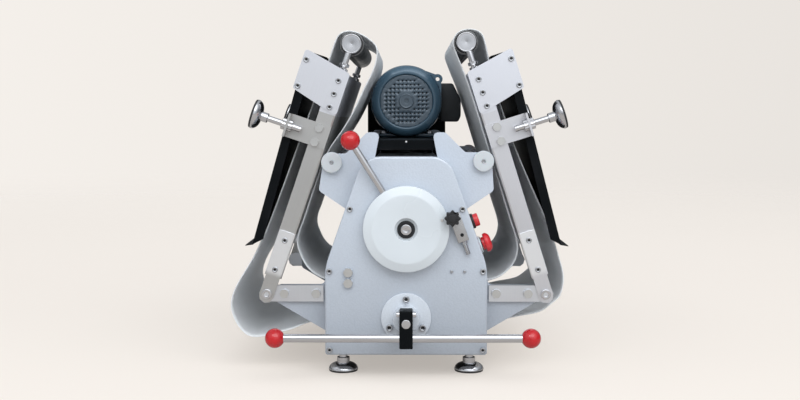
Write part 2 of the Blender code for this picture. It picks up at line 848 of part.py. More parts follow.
for name, (x, y) in FOOT_SPOTS.items():
    dome = foot_dome(TABLE_FOOT_DISC, TABLE_FOOT_HEIGHT, TABLE_FOOT_STEM,
                     TABLE_FOOT_HEIGHT * SOLE_SHARE)
    stem = shaft_profile([(TABLE_FOOT_HEIGHT, COVER_FOOT_Z - SEAT, TABLE_FOOT_STEM)])
    foot = turned("table_foot_" + name, stem[:-1] + dome[1:], (x, y, 0), (0, 0, 1),
                  BALL_COUNT)
    nut = hexagon_head("nut", (x, y, COVER_FOOT_Z - SEAT - MM), (0, 0, -1), NUT_FLAT + MM,
                       NUT_THICK)
    placed(united("table_foot_" + name, [foot, nut]), BRIGHT_STEEL, MACHINE)

# Front cover


def cover_outline():
    """The outline that both covers share, anticlockwise from the bottom right."""
    half = [
        (COVER_FOOT_HALF, COVER_FOOT_Z, COVER_FOOT_ROUND),
        (COVER_FOOT_HALF, COVER_WAIST_Z, COVER_WAIST_ROUND),
        (COVER_TOP_HALF, COVER_TOP_Z, COVER_TOP_ROUND),
    ]
    return rounded(half + [(-x, z, r) for x, z, r in reversed(half)], 5)


def shell_cover(name, outline, depth):
    """A cover like a tray: a flat face with a rounded rim and walls, open behind at y = 0."""
    outer = plate(name, [outline], -depth, 0)
    shape = bmesh.new()
    shape.from_mesh(outer.data)
    rim = [
        edge for edge in shape.edges
        if all(abs(v.co.y + depth) < WELD for v in edge.verts) and len(edge.link_faces) == 2
        and edge.calc_face_angle(0) > 1
    ]
    bmesh.ops.bevel(
        shape, geom=rim, offset=COVER_EDGE_ROUND, segments=2, affect="EDGES", profile=0.5
    )
    shape.to_mesh(outer.data)
    shape.free()
    hollow = plate("hollow", [inset(outline, COVER_SHEET)], -depth + COVER_SHEET, OVERRUN)
    return boolean(outer, hollow)


COVER_BACK = PLATE_OUTER + SEAT
WALL_START = Vector((COVER_FOOT_HALF, COVER_WAIST_Z))
WALL_END = Vector((COVER_TOP_HALF, COVER_TOP_Z))
WALL = (WALL_END - WALL_START).normalized()
WALL_OUT = Vector((WALL.y, -WALL.x))


def on_wall(z):
    """The point of the slanted right side of the front cover at this height."""
    share = (z - WALL_START.y) / (WALL_END.y - WALL_START.y)
    return WALL_START.lerp(WALL_END, share)


def button_point(z, out):
    """A point this far out from the slanted side, at a button's height."""
    spot = on_wall(z) + WALL_OUT * out
    return Vector((spot.x, -BUTTON_Y, spot.y))


def through_cover(x, z, radius):
    """A helper rod that cuts a round hole in the front cover's face."""
    return cylinder("hole", (x, -COVER_FACE - OVERRUN, z), (x, -COVER_BACK, z), radius)


cover = shell_cover("front_cover", cover_outline(), COVER_DEPTH)
moved(cover, Matrix.Translation((0, -COVER_BACK, 0)))
holed(cover, [
    through_cover(0, DIAL_Z, bore(DIAL_SHAFT, ROUND_COUNT, SHAFT_GAP)),
    through_cover(0, LEVER_Z, bore(LEVER_SHAFT, ROUND_COUNT, SHAFT_GAP)),
    cylinder("hole", button_point(START_Z, -OVERRUN * 2), button_point(START_Z, OVERRUN),
             BUTTON_BORE, SMALL_COUNT),
    cylinder("hole", button_point(STOP_BUTTON_Z, -OVERRUN * 2),
             button_point(STOP_BUTTON_Z, OVERRUN), BUTTON_BORE, SMALL_COUNT),
])
COVER_SCREW_IN = 8.4 * MM
COVER_SCREW_DROP = 8 * MM
COVER_SCREW_UP = 10 * MM
COVER_SCREW_SHARE = 0.528
COVER_RIVET_SHARES = (0.56, 0.72)
COVER_BOLT_SHARE = 0.714
COVER_BOLT_DROP = 10 * MM
COVER_BOLT_PITCH = 20.5 * MM
high_screw_z = COVER_WAIST_Z + (COVER_TOP_Z - COVER_WAIST_Z) * COVER_SCREW_SHARE
COVER_SCREWS = [
    (side * (reach - COVER_SCREW_IN), z, SCREW_HEAD)
    for reach, z in (
        (on_wall(high_screw_z).x, high_screw_z),
        (COVER_FOOT_HALF, COVER_WAIST_Z - COVER_SCREW_DROP),
        (COVER_FOOT_HALF, COVER_FOOT_Z + COVER_SCREW_UP),
    )
    for side in SIDES
] + [
    (COVER_FOOT_HALF * share, COVER_WAIST_Z - COVER_SCREW_DROP, SCREW_HEAD / 2)
    for share in COVER_RIVET_SHARES
]
COVER_BOLTS = [
    (-COVER_FOOT_HALF * COVER_BOLT_SHARE, COVER_WAIST_Z - COVER_BOLT_DROP - COVER_BOLT_PITCH * i)
    for i in range(2)
]
heads = [
    cap_screw("screw", (x, -COVER_FACE + WELD_IN, z), (0, -1, 0), radius)
    for x, z, radius in COVER_SCREWS
]
heads += [
    hexagon_head("bolt", (x, -COVER_FACE + WELD_IN, z), (0, -1, 0), BOLT_FLAT, BOLT_HEIGHT)
    for x, z in COVER_BOLTS
]
placed(fastened(cover, heads), PAINT, MACHINE)

rear = shell_cover("rear_cover", cover_outline(), REAR_COVER_DEPTH)
moved(rear, Matrix.Translation((0, -COVER_BACK, 0)))
moved(rear, Matrix.Rotation(math.pi, 4, "Z"))
placed(smooth(rear), PAINT, MACHINE)

tower_half = [
    (TOWER_HALF, TOWER_FOOT_Z, COVER_FOOT_ROUND),
    (TOWER_HALF, MOTOR_Z + TOWER_SHOULDER_UP, TOWER_ROUND),
    (TOWER_TOP_HALF, MOTOR_Z + TOWER_TOP_UP, TOWER_ROUND),
]
tower_outline = rounded(tower_half + [(-x, z, r) for x, z, r in reversed(tower_half)])
tower = plate("pulley_cover", [tower_outline], COVER_BACK, COVER_BACK + TOWER_DEPTH)
deep_half = [(TOWER_HALF, TOWER_FOOT_Z - OVERRUN, 0)] + tower_half[1:]
deep_outline = rounded(deep_half + [(-x, z, r) for x, z, r in reversed(deep_half)])
hollow = plate(
    "hollow",
    [inset(deep_outline, COVER_SHEET)],
    COVER_BACK + COVER_SHEET,
    COVER_BACK + TOWER_DEPTH - COVER_SHEET,
)
boolean(tower, hollow)
boolean(tower, cylinder("hole", (0, PLATE_OUTER, MOTOR_Z), (0, COVER_BACK + OVERRUN, MOTOR_Z),
                        MOTOR_HOLE_RADIUS))
placed(smooth(tower), BLACK_PAINT, MACHINE)

# Bars that carry the conveyors' pivots, with their bolts
PIN_RADIUS = 6 * MM
PIN_HEAD = 7.5 * MM
BAR_BOLT_SHARES = (0.13, 0.694)
BAR_LENGTH = PIVOT_X - BAR_INNER_X
BED_FACE = BAR_FACE + SEAT + WELD_IN
ARM_FACE = BED_FACE + ARM_THICK
FACE_NAMES = {-1: "front", 1: "rear"}
for side in SIDES:
    for face in SIDES:
        low, high = sorted((face * (PLATE_OUTER + SEAT), face * BAR_FACE))
        outline = rounded([
            (PIVOT_X + BAR_HALF, PIVOT_Z - BAR_HALF, BAR_HALF),
            (PIVOT_X + BAR_HALF, PIVOT_Z + BAR_HALF, BAR_HALF),
            (BAR_INNER_X, PIVOT_Z + BAR_HALF, 0),
            (BAR_INNER_X, PIVOT_Z - BAR_HALF, 0),
        ])
        bar = plate("pivot_bar_" + SIDE_NAMES[side] + "_" + FACE_NAMES[face],
                    [[(side * x, z) for x, z in outline]], low, high)
        bolts = [
            hexagon_head("bolt", (side * x, face * (BAR_FACE - WELD_IN), PIVOT_Z),
                         (0, face, 0), BOLT_FLAT, BOLT_HEIGHT)
            for x in (BAR_INNER_X + BAR_LENGTH * share for share in BAR_BOLT_SHARES)
        ]
        head = ARM_FACE + SEAT
        pin = shaft_profile([
            (head + BOLT_HEIGHT / 2, head + BOLT_HEIGHT, PIN_HEAD - MM),
            (head, head + BOLT_HEIGHT / 2, PIN_HEAD),
            (BAR_FACE - WELD_IN, head, PIN_RADIUS),
        ])
        bolts.append(turned("pin", pin, (side * PIVOT_X, 0, PIVOT_Z), (0, face, 0),
                            SMALL_COUNT))
        placed(fastened(bar, bolts), STEEL, MACHINE)

# Discs that the folded conveyors rest on, and the rods between them
disc_low = PLATE_OUTER + SEAT
disc_high = disc_low + DISC_THICK
upper_end = [
    (0, disc_high + SCREW_HEIGHT),
    (SCREW_HEAD, disc_high + SCREW_HEIGHT),
    (SCREW_HEAD, disc_high),
    (DISC_RADIUS - MM, disc_high),
    (DISC_RADIUS, disc_high - MM),
    (DISC_RADIUS, disc_low),
    (CROSS_BAR, disc_low),
]
rest = upper_end + [(radius, -height) for radius, height in reversed(upper_end)]
for side in SIDES:
    x, z = DISC_SPOTS[side]
    roll = turned("rest_roller_" + SIDE_NAMES[side], rest, (x, 0, z), (0, 1, 0))
    placed(roll, NYLON, MACHINE)

# Main rollers, belt rollers and what carries them


def roller(name, place, radius, shaft, half_length, shaft_reach, joint_name, look):
    """A roller with its shaft, on its own axis."""
    joint = empty(joint_name, place)
    shape = shaft_profile([
        (half_length, shaft_reach, shaft),
        (-half_length, half_length, radius),
        (-shaft_reach, -half_length, shaft),
    ])
    made = turned(name, shape, (0, 0, 0), (0, 1, 0))
    placed(made, look, joint)
    return joint


HALF_FACE = ROLLER_FACE / 2
SHAFT_REACH = PLATE_OUTER + BEARING_THICK + OVERRUN
roller("lower_roller", (0, 0, LOWER_Z), MAIN_RADIUS, SHAFT_END, HALF_FACE, SHAFT_REACH,
       "lower_roller_axis", BRIGHT_STEEL)
for side in SIDES:
    roller("drive_roller_" + SIDE_NAMES[side], (side * DRIVE_X, 0, DRIVE_Z), BELT_ROLLER,
           BELT_ROLLER_SHAFT, HALF_FACE, SHAFT_REACH, "drive_roller_axis_" + SIDE_NAMES[side], STEEL)

# The carriage that lifts the upper roller
lift = empty("lift_axis", (0, 0, UPPER_Z))
ARM_REACH = 62 * MM
ARM_RISE = 12 * MM
ARM_SHEET = 6 * MM
BLADE_BAR = 6 * MM
BLADE_THICK = 2 * MM
BLADE_OUT = 54 * MM
blocks = []
for face in SIDES:
    inner = face * (PLATE_INNER - SEAT * 2)
    outer = face * (PLATE_OUTER + OVERRUN)
    low, high = sorted((inner, outer))
    block = box("block", (-CARRIER_HALF_WIDTH, low, -CARRIER_HALF_HEIGHT),
                (CARRIER_HALF_WIDTH, high, CARRIER_HALF_HEIGHT))
    low, high = sorted((inner + face * WELD_IN / 2, inner - face * ARM_SHEET))
    arm = plate("arm", [rounded([
        (ARM_REACH, ARM_RISE - BLADE_BAR * 2, BLADE_BAR),
        (ARM_REACH, ARM_RISE + BLADE_BAR * 2, BLADE_BAR),
        (CARRIER_HALF_WIDTH, CARRIER_HALF_HEIGHT + BLADE_BAR * 2, BLADE_BAR),
        (-CARRIER_HALF_WIDTH, CARRIER_HALF_HEIGHT + BLADE_BAR * 2, BLADE_BAR),
        (-ARM_REACH, ARM_RISE + BLADE_BAR * 2, BLADE_BAR),
        (-ARM_REACH, ARM_RISE - BLADE_BAR * 2, BLADE_BAR),
        (-CARRIER_HALF_WIDTH, -CARRIER_HALF_HEIGHT, BLADE_BAR),
        (CARRIER_HALF_WIDTH, -CARRIER_HALF_HEIGHT, BLADE_BAR),
    ])], low, high)
    both = united("block", [block, arm])
    boolean(both, cylinder("bore", (0, inner - face * ARM_SHEET * 2, 0),
                           (0, outer + face * OVERRUN, 0), bore(SHAFT_END, ROUND_COUNT)))
    blocks.append(both)
BLADE_END = PLATE_INNER - SEAT * 2 - ARM_SHEET + WELD_IN
blades = []
for side in SIDES:
    tip_x = MAIN_RADIUS + SEAT
    outline = rounded([
        (side * BLADE_OUT, ARM_RISE - BLADE_BAR, 0),
        (side * (BLADE_OUT + BLADE_BAR), ARM_RISE - BLADE_BAR, 0),
        (side * (BLADE_OUT + BLADE_BAR), ARM_RISE + BLADE_BAR, 0),
        (side * BLADE_OUT, ARM_RISE + BLADE_BAR, 0),
        (side * BLADE_OUT, ARM_RISE - BLADE_BAR + BLADE_THICK * 2, 0),
        (side * tip_x, ARM_RISE - BLADE_BAR * 2, 0),
        (side * tip_x, ARM_RISE - BLADE_BAR * 2 - BLADE_THICK / 2, 0),
    ])
    blades.append(plate("blade", [outline], -BLADE_END, BLADE_END))
placed(united("roller_carriage", blocks[:1] + blades + blocks[1:]), STEEL, lift)

upper = empty("upper_roller_axis", (0, 0, 0), 0, lift)
upper_reach = PLATE_OUTER + OVERRUN * 2
shape = shaft_profile([
    (HALF_FACE, upper_reach, SHAFT_END),
    (-HALF_FACE, HALF_FACE, MAIN_RADIUS),
    (-upper_reach, -HALF_FACE, SHAFT_END),
])
placed(turned("upper_roller", shape, (0, 0, 0), (0, 1, 0)), BRIGHT_STEEL, upper)

# Guards over the rollers: bent sheets that hang from the rest rods
GUARD_TOP_SHARE = 0.55
GUARD_SHEET = 1.5 * MM
GUARD_EDGE_X = 70 * MM
GUARD_LOW_Z = 226 * MM
GUARD_HALF = PLATE_INNER - SEAT
for side in SIDES:
    x, z = DISC_SPOTS[side]
    x = abs(x)
    hook = CROSS_BAR + SEAT + GUARD_SHEET / 2
    hooks = [
        (x + hook * math.sin(a), z + hook * math.cos(a))
        for a in (math.pi * k / 6 for k in range(7))
    ]
    outline = hooks + [
        (x - hook * 2, z - hook * 2),
        (GUARD_EDGE_X + (x - GUARD_EDGE_X) * GUARD_TOP_SHARE, z - (z - GUARD_LOW_Z) / 2),
        (GUARD_EDGE_X, GUARD_LOW_Z),
    ]
    outline = [(side * a, b) for a, b in outline]
    guard = sheet_along("guard_" + SIDE_NAMES[side], outline, GUARD_SHEET, GUARD_HALF)
    placed(guard, STEEL, MACHINE)

# The bridge under the motor
BRIDGE_END = PLATE_INNER - SEAT
top = [
    (-BRIDGE_HALF, BRIDGE_LOW_Z),
    (-BRIDGE_HALF, BRIDGE_TOP_Z),
    (BRIDGE_HALF, BRIDGE_TOP_Z),
    (BRIDGE_HALF, BRIDGE_LOW_Z),
    (BRIDGE_HALF - BRIDGE_SHEET, BRIDGE_LOW_Z),
    (BRIDGE_HALF - BRIDGE_SHEET, BRIDGE_TOP_Z - BRIDGE_SHEET),
    (-BRIDGE_HALF + BRIDGE_SHEET, BRIDGE_TOP_Z - BRIDGE_SHEET),
    (-BRIDGE_HALF + BRIDGE_SHEET, BRIDGE_LOW_Z),
]
bridge = [plate("motor_bridge", [top], -BRIDGE_END, BRIDGE_END)]
for face in SIDES:
    low, high = sorted((face * BRIDGE_END, face * (BRIDGE_END - BRIDGE_SHEET)))
    bridge.append(box("lip", (-BRIDGE_HALF + WELD, low + WELD, BRIDGE_LIP_Z),
                      (BRIDGE_HALF - WELD, high, BRIDGE_TOP_Z - WELD)))
placed(united("motor_bridge", bridge), BLACK_PAINT, MACHINE)

# Motor: a stator with cooling fins, its feet, its fan cover with a grille, and its rotor
STATOR_START = MOTOR_FACE_Y + FAN_COVER_LENGTH + SEAT
STATOR_END = STATOR_START + STATOR_LENGTH
SHIELD_END = STATOR_END + SHIELD_LENGTH
FIN_SHARES = ((0.0, 1), (0.3, 1), (0.42, 0), (0.88, 0))
fins = [
    (
        (STATOR_RADIUS + FIN_HEIGHT * tall) * math.cos(math.tau * (i + share) / FIN_COUNT),
        MOTOR_Z
        + (STATOR_RADIUS + FIN_HEIGHT * tall) * math.sin(math.tau * (i + share) / FIN_COUNT),
    )
    for i in range(FIN_COUNT)
    for share, tall in FIN_SHARES
]
stator = plate("motor_stator", [fins], STATOR_START, STATOR_END)
shield = turned(
    "shield",
    [
        (0, SHIELD_END),
        (STATOR_RADIUS / 2, SHIELD_END),
        (STATOR_RADIUS / 2, SHIELD_END - FIN_HEIGHT),
        (STATOR_RADIUS, STATOR_END + FIN_HEIGHT),
        (STATOR_RADIUS + FIN_HEIGHT + MM, STATOR_END + MM),
        (STATOR_RADIUS + FIN_HEIGHT + MM, STATOR_END - FIN_HEIGHT),
        (0, STATOR_END - FIN_HEIGHT),
    ],
    (0, 0, MOTOR_Z),
    (0, 1, 0),
    FIN_COUNT,
)
foot_z = BRIDGE_TOP_Z + SEAT
foot_start = STATOR_START + MOTOR_FOOT_WIDTH / 2
foot_end = STATOR_END - MOTOR_FOOT_WIDTH / 2
feet_plate = box("feet", (-MOTOR_FOOT_HALF, foot_start, foot_z),
                 (MOTOR_FOOT_HALF, foot_end, foot_z + MOTOR_FOOT_THICK))
pedestal_half = MOTOR_FOOT_HALF - MOTOR_FOOT_WIDTH
pedestal = box("pedestal", (-pedestal_half, foot_start + MM, foot_z + MM),
               (pedestal_half, foot_end - MM, MOTOR_Z - pedestal_half))
ring_radius = (FAN_COVER_RADIUS - FAN_COVER_SHEET - SEAT) * math.cos(math.pi / FINE_COUNT)
ring = cylinder("ring", (0, STATOR_START - RING_LAP, MOTOR_Z),
                (0, STATOR_START + RING_LAP, MOTOR_Z), ring_radius, FIN_COUNT)
stator = united("motor_stator", [stator, shield, ring, feet_plate, pedestal])
shaft_bore = cylinder("bore", (0, STATOR_START - RING_LAP - OVERRUN, MOTOR_Z),
                      (0, SHIELD_END + OVERRUN, MOTOR_Z), bore(MOTOR_SHAFT, ROUND_COUNT, SHAFT_GAP))
placed(smooth(boolean(stator, shaft_bore)), MOTOR_BLUE, MACHINE)

face_y = FAN_COVER_LENGTH
wall = FAN_COVER_SHEET
fan_cover = turned(
    "motor_fan_cover",
    [
        (0, face_y - GRILLE_SINK),
        (GRILLE_RADIUS - GRILLE_SINK, face_y - GRILLE_SINK),
        (GRILLE_RADIUS, face_y),
        (FAN_COVER_RADIUS - FAN_COVER_EDGE, face_y - GRILLE_SINK / 2),
        (FAN_COVER_RADIUS - wall, face_y - FAN_COVER_EDGE),
        (FAN_COVER_RADIUS, face_y - FAN_COVER_TURN),
        (FAN_COVER_RADIUS, 0),
        (FAN_COVER_RADIUS - wall, 0),
        (FAN_COVER_RADIUS - wall, face_y - FAN_COVER_TURN),
        (FAN_COVER_RADIUS - FAN_COVER_EDGE - wall, face_y - GRILLE_SINK - wall),
        (0, face_y - GRILLE_SINK - wall),
    ],
    (0, MOTOR_FACE_Y + FAN_COVER_LENGTH, MOTOR_Z),
    (0, -1, 0),
    FINE_COUNT,
)
LUG_START = MOTOR_FACE_Y + FAN_COVER_TURN
lug_root = FAN_COVER_RADIUS - wall / 2
LUG_ANGLES = (math.radians(66), math.radians(2))
lug = plate(
    "lug",
    [rounded([
        (lug_root * math.cos(LUG_ANGLES[0]), MOTOR_Z + lug_root * math.sin(LUG_ANGLES[0]), 0),
        (LUG_X + LUG_ROUND, MOTOR_Z + LUG_UP + LUG_ROUND / 2, LUG_ROUND),
        (lug_root * math.cos(LUG_ANGLES[1]), MOTOR_Z + lug_root * math.sin(LUG_ANGLES[1]), 0),
        (LUG_X - LUG_ROUND * 2, MOTOR_Z + LUG_UP - LUG_ROUND * 2, 0),
    ])],
    LUG_START,
    LUG_START + LUG_THICK,
)
inside = cylinder("inside", (0, LUG_START - OVERRUN, MOTOR_Z),
                  (0, LUG_START + LUG_THICK + OVERRUN, MOTOR_Z),
                  FAN_COVER_RADIUS - wall + WELD, FINE_COUNT)
boolean(lug, inside)
fan_cover = united("motor_fan_cover", [fan_cover, lug])
grille = []
reach = int(GRILLE_RADIUS / GRILLE_PITCH)
for column in range(-reach, reach + 1):
    for row in range(-reach, reach + 1):
        x, z = column * GRILLE_PITCH, row * GRILLE_PITCH
        if GRILLE_HUB < math.hypot(x, z) < GRILLE_RADIUS - GRILLE_PITCH / 2:
            grille.append(box(
                "hole",
                (x - GRILLE_HOLE, MOTOR_FACE_Y - OVERRUN, MOTOR_Z + z - GRILLE_HOLE),
                (x + GRILLE_HOLE, MOTOR_FACE_Y + OVERRUN * 2, MOTOR_Z + z + GRILLE_HOLE),
            ))
grille.append(cylinder("hole", (LUG_X, LUG_START - OVERRUN, MOTOR_Z + LUG_UP),
                       (LUG_X, LUG_START + LUG_THICK + OVERRUN, MOTOR_Z + LUG_UP),
                       LUG_HOLE, TINY_COUNT))
placed(smooth(holed(fan_cover, grille)), MOTOR_BLUE, MACHINE)

rotor_axis = empty("motor_axis", (0, 0, MOTOR_Z))
fan_start = MOTOR_FACE_Y + GRILLE_SINK + wall + FAN_GAP
fan_end = fan_start + FAN_DEPTH
pulley_start = COVER_BACK + PULLEY_OFFSET
pulley_end = pulley_start + PULLEY_WIDTH
groove = PULLEY_WIDTH / 4
rotor = turned(
    "motor_rotor",
    [
        (0, pulley_end + OVERRUN),
        (MOTOR_SHAFT, pulley_end + OVERRUN),
        (MOTOR_SHAFT, pulley_end),
        (PULLEY_RADIUS, pulley_end),
        (PULLEY_RADIUS, pulley_end - groove / 2),
        (PULLEY_RADIUS - PULLEY_GROOVE, pulley_end - groove * 3 / 2),
        (PULLEY_RADIUS - PULLEY_GROOVE, pulley_start + groove * 3 / 2),
        (PULLEY_RADIUS, pulley_start + groove / 2),
        (PULLEY_RADIUS, pulley_start),
        (MOTOR_SHAFT, pulley_start),
        (MOTOR_SHAFT, fan_end),
        (FAN_RADIUS, fan_end),
        (FAN_RADIUS, fan_end - FAN_BLADE_THICK),
        (FAN_HUB, fan_end - FAN_BLADE_THICK),
        (FAN_HUB, fan_start),
        (0, fan_start),
    ],
    (0, 0, 0),
    (0, 1, 0),
)
blades = [rotor]
for i in range(BLADE_COUNT):
    blade = box("blade", (FAN_HUB - FAN_BLADE_THICK, fan_start, -FAN_BLADE_THICK / 2),
                (FAN_RADIUS - FAN_BLADE_THICK, fan_end - FAN_BLADE_THICK / 2,
                 FAN_BLADE_THICK / 2))
    blades.append(moved(blade, Matrix.Rotation(math.tau * i / BLADE_COUNT, 4, "Y")))
placed(united("motor_rotor", blades), BLACK_PLASTIC, rotor_axis)

box_start = STATOR_START + (STATOR_LENGTH - BOX_LENGTH) / 4
BOX_EDGE = 5 * MM
BOX_SHOULDER_UP = 5 * MM
BOX_SHOULDER_Z = MOTOR_Z + BOX_SHOULDER_UP
BOX_TOP_X = 104 * MM
case = plate(
    "motor_terminal_box",
    [rounded([
        (STATOR_RADIUS + FIN_HEIGHT + SEAT, BOX_LOW_Z, BOX_EDGE),
        (BOX_OUT_X, BOX_LOW_Z, BOX_EDGE),
        (BOX_OUT_X, BOX_SHOULDER_Z, BOX_EDGE),
        (BOX_TOP_X, BOX_HIGH_Z, BOX_EDGE),
        (STATOR_RADIUS + FIN_HEIGHT + SEAT, BOX_HIGH_Z, BOX_EDGE),
    ])],
    box_start,
    box_start + BOX_LENGTH,
)
placed(smooth(case), BLACK_PLASTIC, MACHINE)

# Thickness dial
dial_axis = empty("dial_axis", (0, -COVER_FACE - DIAL_GAP, DIAL_Z))
TOWARDS = Vector((0, -1, 0))


def rod_point(reach):
    """A point on the slightly slanted dial rod, this far from the dial's axis."""
    slope = (DIAL_BALL_HEIGHT - DIAL_ROD_ROOT) / (DIAL_BALL_REACH - DIAL_RADIUS)
    height = DIAL_ROD_ROOT + slope * (reach - DIAL_RADIUS)
    return Vector((math.cos(DIAL_ANGLE) * reach, -height, math.sin(DIAL_ANGLE) * reach))


ROD_SEAT = 10 * MM
CHAMFER = 1.2 * MM
dial = turned(
    "dial_disc",
    [
        (DIAL_RECESS, DIAL_HEIGHT),
        (DIAL_FACE_RADIUS - CHAMFER, DIAL_HEIGHT),
        (DIAL_FACE_RADIUS, DIAL_HEIGHT - CHAMFER / 2),
        (DIAL_RADIUS - CHAMFER / 2, DIAL_RIM),
        (DIAL_RADIUS, DIAL_RIM - CHAMFER),
        (DIAL_RADIUS, CHAMFER),
        (DIAL_RADIUS - CHAMFER, 0),
        (bore(DIAL_SHAFT, FINE_COUNT), 0),
        (bore(DIAL_SHAFT, FINE_COUNT), DIAL_HEIGHT - DIAL_RECESS_DEPTH),
        (DIAL_RECESS, DIAL_HEIGHT - DIAL_RECESS_DEPTH),
    ],
    (0, 0, 0),
    TOWARDS,
    FINE_COUNT,
    True,
)
boolean(dial, cylinder("hole", rod_point(DIAL_RADIUS - ROD_SEAT),
                       rod_point(DIAL_RADIUS + OVERRUN), bore(DIAL_ROD), SMALL_COUNT))
placed(smooth(dial), WHITE_PAINT, dial_axis)
rod = cylinder("dial_rod", rod_point(DIAL_RADIUS - ROD_SEAT + SEAT),
               rod_point(DIAL_BALL_REACH - BALL_NECK), DIAL_ROD, SMALL_COUNT)
placed(rod, STEEL, dial_axis)
knob = ball("dial_ball", rod_point(DIAL_BALL_REACH), BALL_RADIUS)
boolean(knob, cylinder("hole", rod_point(DIAL_BALL_REACH - BALL_RADIUS - OVERRUN),
                       rod_point(DIAL_BALL_REACH - BALL_NECK + SEAT), bore(DIAL_ROD),
                       SMALL_COUNT))
placed(smooth(knob, 60.0), RED_PLASTIC, dial_axis)
floor = DIAL_HEIGHT - DIAL_RECESS_DEPTH + SEAT
WASHER_THICK = 3 * MM
SHAFT_TIP = 6 * MM
dial_shaft = shaft_profile([
    (floor + WASHER_THICK, floor + WASHER_THICK + SHAFT_TIP, DIAL_SHAFT),
    (floor, floor + WASHER_THICK, DIAL_WASHER),
    (-COVER_DEPTH - DIAL_GAP + SEAT, floor, DIAL_SHAFT),
])
placed(turned("dial_shaft", dial_shaft, (0, 0, 0), TOWARDS), DARK_STEEL, dial_axis)

# Reversing lever
flange_face = FLANGE_THICK + HUB_LENGTH
flange = turned(
    "lever_flange",
    [
        (bore(LEVER_SHAFT, ROUND_COUNT + SMALL_COUNT), flange_face),
        (HUB_RADIUS - CHAMFER, flange_face),
        (HUB_RADIUS, flange_face - CHAMFER),
        (HUB_RADIUS, FLANGE_THICK),
        (FLANGE_RADIUS - CHAMFER, FLANGE_THICK),
        (FLANGE_RADIUS, FLANGE_THICK - CHAMFER),
        (FLANGE_RADIUS, 0),
        (bore(LEVER_SHAFT, ROUND_COUNT + SMALL_COUNT), 0),
    ],
    (0, -COVER_FACE - SEAT, LEVER_Z),
    TOWARDS,
    ROUND_COUNT + SMALL_COUNT,
    True,
)
FLANGE_SCREW_ANGLES = (math.radians(90), math.radians(210), math.radians(330))
SOCKET_RADIUS = 3 * MM
SOCKET_DEPTH = 3 * MM
heads = []
for angle in FLANGE_SCREW_ANGLES:
    start = Vector((
        FLANGE_SCREW_CIRCLE * math.cos(angle),
        -COVER_FACE - SEAT - FLANGE_THICK + WELD_IN,
        LEVER_Z + FLANGE_SCREW_CIRCLE * math.sin(angle),
    ))
    head = cap_screw("screw", start, TOWARDS, FLANGE_SCREW, BOLT_HEIGHT)
    top = start + TOWARDS * BOLT_HEIGHT
    boolean(head, cylinder("socket", top - TOWARDS * SOCKET_DEPTH, top + TOWARDS * OVERRUN,
                           SOCKET_RADIUS, 6))
    heads.append(head)
placed(fastened(flange, heads), PAINT, MACHINE)

lever_axis = empty("lever_axis", (0, -COVER_FACE - SEAT - flange_face - SEAT, LEVER_Z))
rod_z = LEVER_ROD_Z - LEVER_Z
rod_y = -BLOCK_DEPTH / 2
block = box("lever_block", (-BLOCK_HALF, -BLOCK_DEPTH, BLOCK_LOW_Z - LEVER_Z),
            (BLOCK_HALF, 0, BLOCK_TOP_Z - LEVER_Z), CHAMFER)
boolean(block, cylinder("bore", (-BLOCK_HALF - OVERRUN, rod_y, rod_z),
                        (BLOCK_HALF + OVERRUN, rod_y, rod_z), bore(LEVER_ROD, ROUND_COUNT)))
shaft_back = SHAFT_REACH + MM + lever_axis.location.y
pins = [
    cylinder("shaft", (0, -shaft_back, 0), (0, -BLOCK_DEPTH - CHAMFER, 0), LEVER_SHAFT),
    *[
        cap_screw("clamp", (side * (BLOCK_HALF - WELD_IN), rod_y, CLAMP_RISE), (side, 0, 0),
                  SCREW_HEAD, BOLT_HEIGHT)
        for side in SIDES
    ],
]
placed(fastened(block, pins), BLACK_PAINT, lever_axis)
ends = [LEVER_SHIFT + side * (LEVER_BALL_X - BALL_NECK) for side in SIDES]
placed(cylinder("lever_rod", (ends[0], rod_y, rod_z), (ends[1], rod_y, rod_z), LEVER_ROD),
       BRIGHT_STEEL, lever_axis)
for side in SIDES:
    centre = Vector((LEVER_SHIFT + side * LEVER_BALL_X, rod_y, rod_z))
    inward = Vector((-side, 0, 0))
    knob = ball("lever_ball_" + SIDE_NAMES[side], centre, BALL_RADIUS)
    boolean(knob, cylinder("hole", centre + inward * (BALL_NECK - SEAT),
                           centre + inward * (BALL_RADIUS + OVERRUN),
                           bore(LEVER_ROD, ROUND_COUNT)))
    placed(smooth(knob, 60.0), RED_PLASTIC, lever_axis)

# Gap stop: a steel block with a stop stud, clamped by a star knob
tilt = Matrix.Rotation(-STOP_TILT, 4, "Y")
place = Matrix.Translation((STOP_X, -COVER_FACE - SEAT, STOP_Z)) @ tilt
stop = box("gap_stop", (-STOP_WIDTH / 2, -STOP_THICK, -STOP_LENGTH / 2),
           (STOP_WIDTH / 2, 0, STOP_LENGTH / 2), CHAMFER)
stud = cylinder("stud", (0, -STOP_THICK / 2, -STOP_LENGTH / 2 + OVERRUN),
                (0, -STOP_THICK / 2, -STOP_LENGTH / 2 - STUD_LENGTH), STUD_RADIUS, SMALL_COUNT)
stud_nut = hexagon_head("nut", (0, -STOP_THICK / 2, -STOP_LENGTH / 2 + MM), (0, 0, -1),
                        STUD_RADIUS + MM, NUT_THICK / 2)
stop = moved(united("gap_stop", [stop, stud_nut, stud]), place)
star_face = -COVER_FACE - SEAT - STOP_THICK
boolean(stop, cylinder("hole", (STAR_X, star_face + ROD_SEAT, STAR_Z),
                       (STAR_X, star_face - OVERRUN, STAR_Z), bore(STAR_STEM), SMALL_COUNT))
placed(smooth(stop), STEEL, MACHINE)

